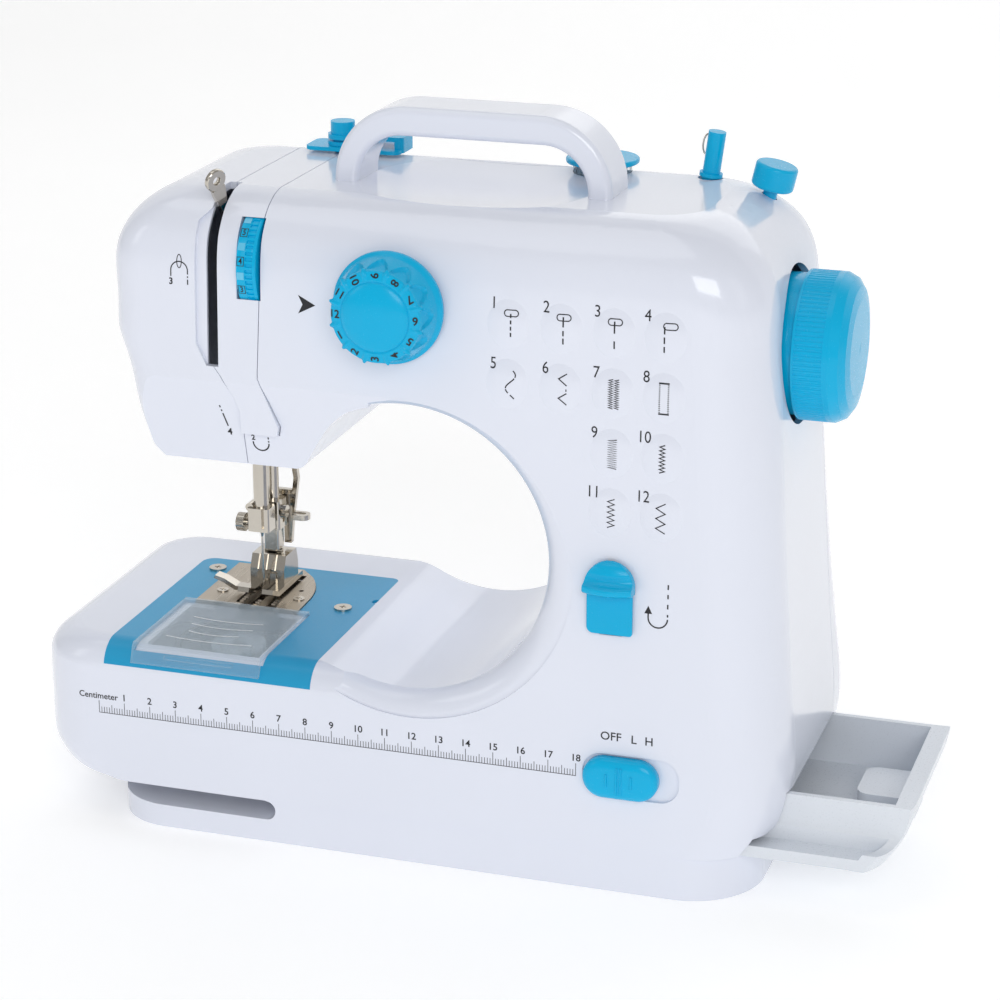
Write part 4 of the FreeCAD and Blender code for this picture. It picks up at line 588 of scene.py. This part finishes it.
# radius and height: shaft, foot ring, tapered skirt, number ring, groove and cap
profile = [(0, -26), (5, -26), (5, 0), (18.6, 0), (19.2, 0.25), (19.4, 0.9), (19.4, 2.4), (19.1, 2.9)]
profile += [(18.5, 3.2)]
profile += [(18.45 - 0.13 * (h / 2 - 1.8) ** 1.25, h / 2) for h in range(8, 28)]
profile += [(16.8, 13.9), (16.5, 14.15), (15.4, 14.4), (14.0, 14.7), (12.7, 14.95), (12.3, 15.0)]
profile += [(12.15, 14.85), (11.95, 14.85), (11.8, 15.1), (11.4, 15.4), (10.2, 15.9), (8.4, 16.4)]
profile += [(6.0, 16.85), (3.2, 17.12), (0, DIAL_TALL)]
bm = bmesh.new()
lathe(bm, [(r * MM, h * MM) for r, h in profile], DIAL, (0, -1, 0), 360, dial_form)
dial = add(bm, "dial_knob", "blue_plastic", "pattern_dial", angle=55)
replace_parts(dial, "pattern_dial")
DIAL_TREE = BVHTree.FromPolygons([v.co.copy() for v in dial.data.vertices],
                                 [list(f.vertices) for f in dial.data.polygons])


def on_dial(x, z):
    return seen_from_front(DIAL_TREE, x, z, 2 * LIFT)


bm = bmesh.new()
for number in range(1, DIAL_COUNT + 1):
    a = math.radians(180 + 30 * number)
    letters(bm, str(number), DIAL.x + NUMBERS_R * math.cos(a), DIAL.z + NUMBERS_R * math.sin(a), 3.9 * MM,
            turn=a - math.pi, weight=0.08 * MM)
printed(bm, "dial_numbers", "pattern_dial", place=on_dial, cut=0.9 * MM)

# ---------------------------------------------------------------- reverse lever
SHIELD_HALF = 8
THUMB_HALF = 8.6
THUMB_CENTRE = 17.7
CROWN = 0.30
low, high = (Vector(v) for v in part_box("reverse_lever"))
PADDLE = Vector((0.5 * (low.x + high.x), low.y + 8.0 * MM, low.z))


def paddle(u, w, v):
    """Across, forward and up from the middle of the lever's foot, in mm."""
    return PADDLE + Vector((u, -w, v)) * MM


bm = bmesh.new()
shield = arc_points(-SHIELD_HALF + 2.4, 2.4, 2.4, 180, 271, 15)
shield += arc_points(SHIELD_HALF - 1.0, 1.0, 1.0, 270, 361, 15)
shield += [(SHIELD_HALF, 18), (-SHIELD_HALF, 18)]
plate(bm, shield, 0.0, 1.6, paddle)
plate(bm, [(-3.8, 11.5), (3.8, 11.5), (3.8, 19.5), (-3.8, 19.5)], -15.0, 0.3, paddle)
add(bm, "lever_shield", "blue_plastic", "reverse_lever", bevel=0.45 * MM)
# the thumb rest from below its ledge to its top, as (forward, up)
side = [(0.4, 15.1), (5.4, 15.3), (6.9, 15.6), (7.8, 16.2), (8.0, 17.0), (7.8, 17.9), (7.2, 18.3),
        (5.6, 18.5), (4.3, 19.2), (3.7, 20.4), (3.75, 21.6), (3.9, 22.1), (3.7, 22.9), (2.9, 24.6),
        (1.7, 25.7), (0.5, 26.2)]
bm = bmesh.new()
rows = []
for w, v in side:
    half = math.sqrt(max(THUMB_HALF ** 2 - max(v - THUMB_CENTRE, 0.0) ** 2, 0.9))
    row = [bm.verts.new(paddle(-half, 0.0, v))]
    for k in range(-8, 9):
        u = k / 8
        dip = 0.55 * (1 - u * u) if 20 < v < 23 else 0.0
        row.append(bm.verts.new(paddle(half * u, w * (1 - CROWN * u * u), v - dip)))
    rows.append(row + [bm.verts.new(paddle(half, 0.0, v))])
for a, b in zip(rows, rows[1:]):
    for k in range(len(a) - 1):
        bm.faces.new((a[k], a[k + 1], b[k + 1], b[k]))
bm.faces.new(rows[0])
bm.faces.new(rows[-1])
bm.faces.new([row[0] for row in rows])
bm.faces.new([row[-1] for row in rows])
lever_thumb = add(bm, "lever_thumb", "blue_plastic", "reverse_lever", bevel=0.3 * MM, angle=50)
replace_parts(lever_thumb, "reverse_lever")

# ---------------------------------------------------------------- power slider
CAP_TALL = 5.38
low, high = (Vector(v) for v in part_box("power_slider"))
half_x, half_z = 0.5 * (high.x - low.x) / MM, 0.5 * (high.z - low.z) / MM
SWITCH = Vector((0.5 * (low.x + high.x), low.y + 5.4 * MM, 0.5 * (low.z + high.z)))


def button(u, w, v):
    """Across, forward and up from the middle of the slider's face, in mm."""
    return SWITCH + Vector((u, -w, v)) * MM


def stadium(inset):
    right = arc_points(half_x - half_z, 0.0, half_z - inset, -90, 91, 9)
    return right + [(-u, -v) for u, v in right]


bm = bmesh.new()
# inset and height of each ring of the cap
layers = [(0.3, 0.0), (0.0, 0.5), (0.0, 3.0), (0.25, 3.7), (0.9, 4.4), (1.9, 4.9), (3.4, 5.2)]
layers += [(5.6, CAP_TALL)]
skin(bm, [[bm.verts.new(button(u, w, v)) for u, v in stadium(inset)] for inset, w in layers])
plate(bm, [(-5, -3), (5, -3), (5, 3), (-5, 3)], -7.6, 0.2, button)
slider = add(bm, "switch_button", "blue_plastic", "power_slider", angle=60)
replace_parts(slider, "power_slider")
bm = bmesh.new()
# place, reach and radius of each rib
for u, reach, wide in ((-4.4, 2.3, 0.45), (4.4, 2.3, 0.45), (-0.75, 4.9, 0.4), (0.75, 4.9, 0.4)):
    heights = [reach * k / 6 for k in range(-6, 7)]
    tube(bm, [button(u, CAP_TALL - 0.45 * (abs(v) / 5.4) ** 3, v) for v in heights], wide * MM)
add(bm, "switch_ribs", "blue_plastic", "power_slider")

# ---------------------------------------------------------------- take-up lever
EYE_TO_TOP = 3.6 * MM
HUB_R = 5.0
TWIST = math.radians(30)
BLADE_HALF_THICK = 0.8
BLADE_STEPS = 24
low, high = (Vector(v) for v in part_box("take_up_lever"))
EYE = Vector((0.5 * (low.x + high.x), low.y + EYE_TO_TOP, high.z - EYE_TO_TOP))
HUB = Vector((EYE.x, high.y - HUB_R * MM, low.z + HUB_R * MM))
along = (EYE - HUB).normalized()
over = Vector((1, 0, 0)).cross(along)
REACH = (EYE - HUB).length / MM


def on_lever(u, v, w):
    """u from the hub to the eye, v across, w through the blade, which twists to the front near the eye."""
    twist = -TWIST * step(u, REACH - 16, REACH - 3)
    side_way = over * math.cos(twist) + Vector((1, 0, 0)) * math.sin(twist)
    through = Vector((1, 0, 0)) * math.cos(twist) - over * math.sin(twist)
    return HUB + (along * u + side_way * v + through * w) * MM


bm = bmesh.new()
grid = []
for n in range(BLADE_STEPS - 1):
    u = REACH * n / BLADE_STEPS
    half = 0.5 * (3.9 + 2.2 * step(u, 14, 0) + 1.5 * step(u, REACH - 12, REACH - 4))
    section = ((half, -BLADE_HALF_THICK), (half, BLADE_HALF_THICK), (-half, BLADE_HALF_THICK),
               (-half, -BLADE_HALF_THICK))
    grid.append([bm.verts.new(on_lever(u, v, w)) for v, w in section])
skin(bm, grid)
eye_axis = on_lever(REACH, 0, 1) - on_lever(REACH, 0, 0)
washer = [(1.35, -0.5), (1.6, -0.95), (3.7, -0.95), (4.05, -0.6), (4.1, 0), (4.05, 0.6), (3.7, 0.95),
          (1.6, 0.95), (1.35, 0.5), (1.35, -0.5)]
lathe(bm, [(r * MM, h * MM) for r, h in washer], EYE, eye_axis, 48)
hub = [(2.05, -0.8), (4.9, -0.8), (HUB_R, -0.7), (HUB_R, 0.7), (4.9, 0.8), (2.05, 0.8), (2.05, -0.8)]
lathe(bm, [(r * MM, h * MM) for r, h in hub], HUB, (1, 0, 0), 48)
lever = add(bm, "take_up_blade", "bright_metal", "take_up", bevel=0.25 * MM)
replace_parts(lever, "take_up_lever")

# ---------------------------------------------------------------- tension wheel
INK_R = 19.42 * MM
NUMBER_STEP = math.radians(30)
FIRST = math.radians(11.0)
low, high = (Vector(v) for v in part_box("tension_wheel"))
WHEEL = Vector((low.x, 0.5 * (low.y + high.y), 0.5 * (low.z + high.z)))


def wheel_form(r, h, a):
    """Sixty ribs on the right half of the rim."""
    if r > 18 * MM and 3.4 * MM < h < 5.9 * MM:
        return r - 0.5 * MM * (math.sin(60 * a) < 0), h
    return r, h


profile = [(2.6, 0), (18.9, 0), (19.3, 0.3), (19.35, 0.8), (19.35, 3.2), (19.4, 3.3), (19.45, 3.5),
           (19.5, 3.8), (19.5, 5.4), (19.45, 5.8), (19.3, 6.0), (19.3, 6.5), (18.9, 7.0), (2.6, 7.0),
           (2.6, 0)]
bm = bmesh.new()
lathe(bm, [(r * MM, h * MM) for r, h in profile], WHEEL, (1, 0, 0), 720, wheel_form)
wheel = add(bm, "tension_knob", "blue_plastic", "tension_wheel", angle=30)
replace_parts(wheel, "tension_wheel")


def on_wheel(x, s):
    """s is the way round the rim from its middle front."""
    a = s / INK_R
    r = INK_R - 0.01 * MM
    return Vector((WHEEL.x + x, WHEEL.y - r * math.cos(a), WHEEL.z + r * math.sin(a)))


bm, pads = bmesh.new(), bmesh.new()
for number in range(10):
    s = (FIRST + NUMBER_STEP * (number - 4)) * INK_R
    box_x = [(0.55, -1.5), (2.95, -1.5), (2.95, 1.5), (0.55, 1.5)]
    stroke(bm, [(x * MM, s + z * MM) for x, z in box_x], 0.22 * MM, closed=True)
    letters(bm, str(number), 1.75 * MM, s, 3.1 * MM, weight=0.05 * MM, squeeze=0.85)
    middle = s + 0.5 * NUMBER_STEP * INK_R
    stroke(pads, [(0.5 * MM, middle), (3.0 * MM, middle)], 2.6 * MM)
printed(bm, "tension_numbers", "tension_wheel", place=on_wheel, cut=1.2 * MM)
printed(pads, "tension_pads", "tension_wheel", place=on_wheel, cut=1.2 * MM, ink="pale_blue")

# ---------------------------------------------------------------- lines moulded on the bobbin cover
COVER_TOP = 70.6 * MM
SAG = 1.6
# y, then x from and to, of each line, in mm
COVER_LINES = ((-29.3, -93.0, -65.6), (-36.0, -91.0, -67.0), (-43.0, -89.0, -69.6), (-49.6, -95.2, -61.8))


def on_cover(x, y):
    return Vector((x, y, COVER_TOP + 2 * LIFT))


bm = bmesh.new()
for y, x0, x1 in COVER_LINES:
    mid = 0.5 * (x0 + x1)
    points = [((mid + (x1 - mid) * k / 8) * MM, (y - SAG * (1 - (k / 8) ** 2)) * MM) for k in range(-8, 9)]
    stroke(bm, points, 0.5 * MM)
printed(bm, "cover_lines", "bobbin_cover", place=on_cover, ink="white_ink")

# ---------------------------------------------------------------- springs and the wire on the winder
COIL_STEPS = 20
# node, turns, wire radius in mm
for node, turns, wire in (("presser_spring", 11, 0.45), ("reverse_spring", 7, 0.4)):
    low, high = (Vector(v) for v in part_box(node))
    mid = 0.5 * (low + high)
    r = 0.5 * (high.x - low.x) - wire * MM
    count = turns * COIL_STEPS
    coil = []
    for k in range(count + 1):
        a = 2 * math.pi * k / COIL_STEPS
        height = low.z + wire * MM + (high.z - low.z - 2 * wire * MM) * k / count
        coil.append((mid.x + r * math.cos(a), mid.y + r * math.sin(a), height))
    bm = bmesh.new()
    tube(bm, coil, wire * MM)
    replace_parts(add(bm, node + "_coil", "steel", "casing"), node)

TILT = math.radians(7.5)
WIRE_FOOT = Vector((83.5, 25.0, 229.5)) * MM
WIRE_RISE, WIRE_HALF = 17.5, 3.6
up = Vector((math.sin(TILT), 0, math.cos(TILT)))
outward = Vector((-math.cos(TILT), 0, math.sin(TILT)))
loop = []
for k in range(13):
    a = math.pi * (k / 12 - 0.5)
    rise, out = WIRE_RISE + WIRE_HALF * math.sin(a), 2.9 + 1.5 * math.cos(a)
    loop.append(WIRE_FOOT + up * (rise * MM) + outward * (out * MM))
bm = bmesh.new()
tube(bm, loop, 0.32 * MM)
add(bm, "winder_wire", "bright_metal", "winder_spindle")

for obj in nodes.values():
    for p in obj.data.polygons:
        p.use_smooth = True
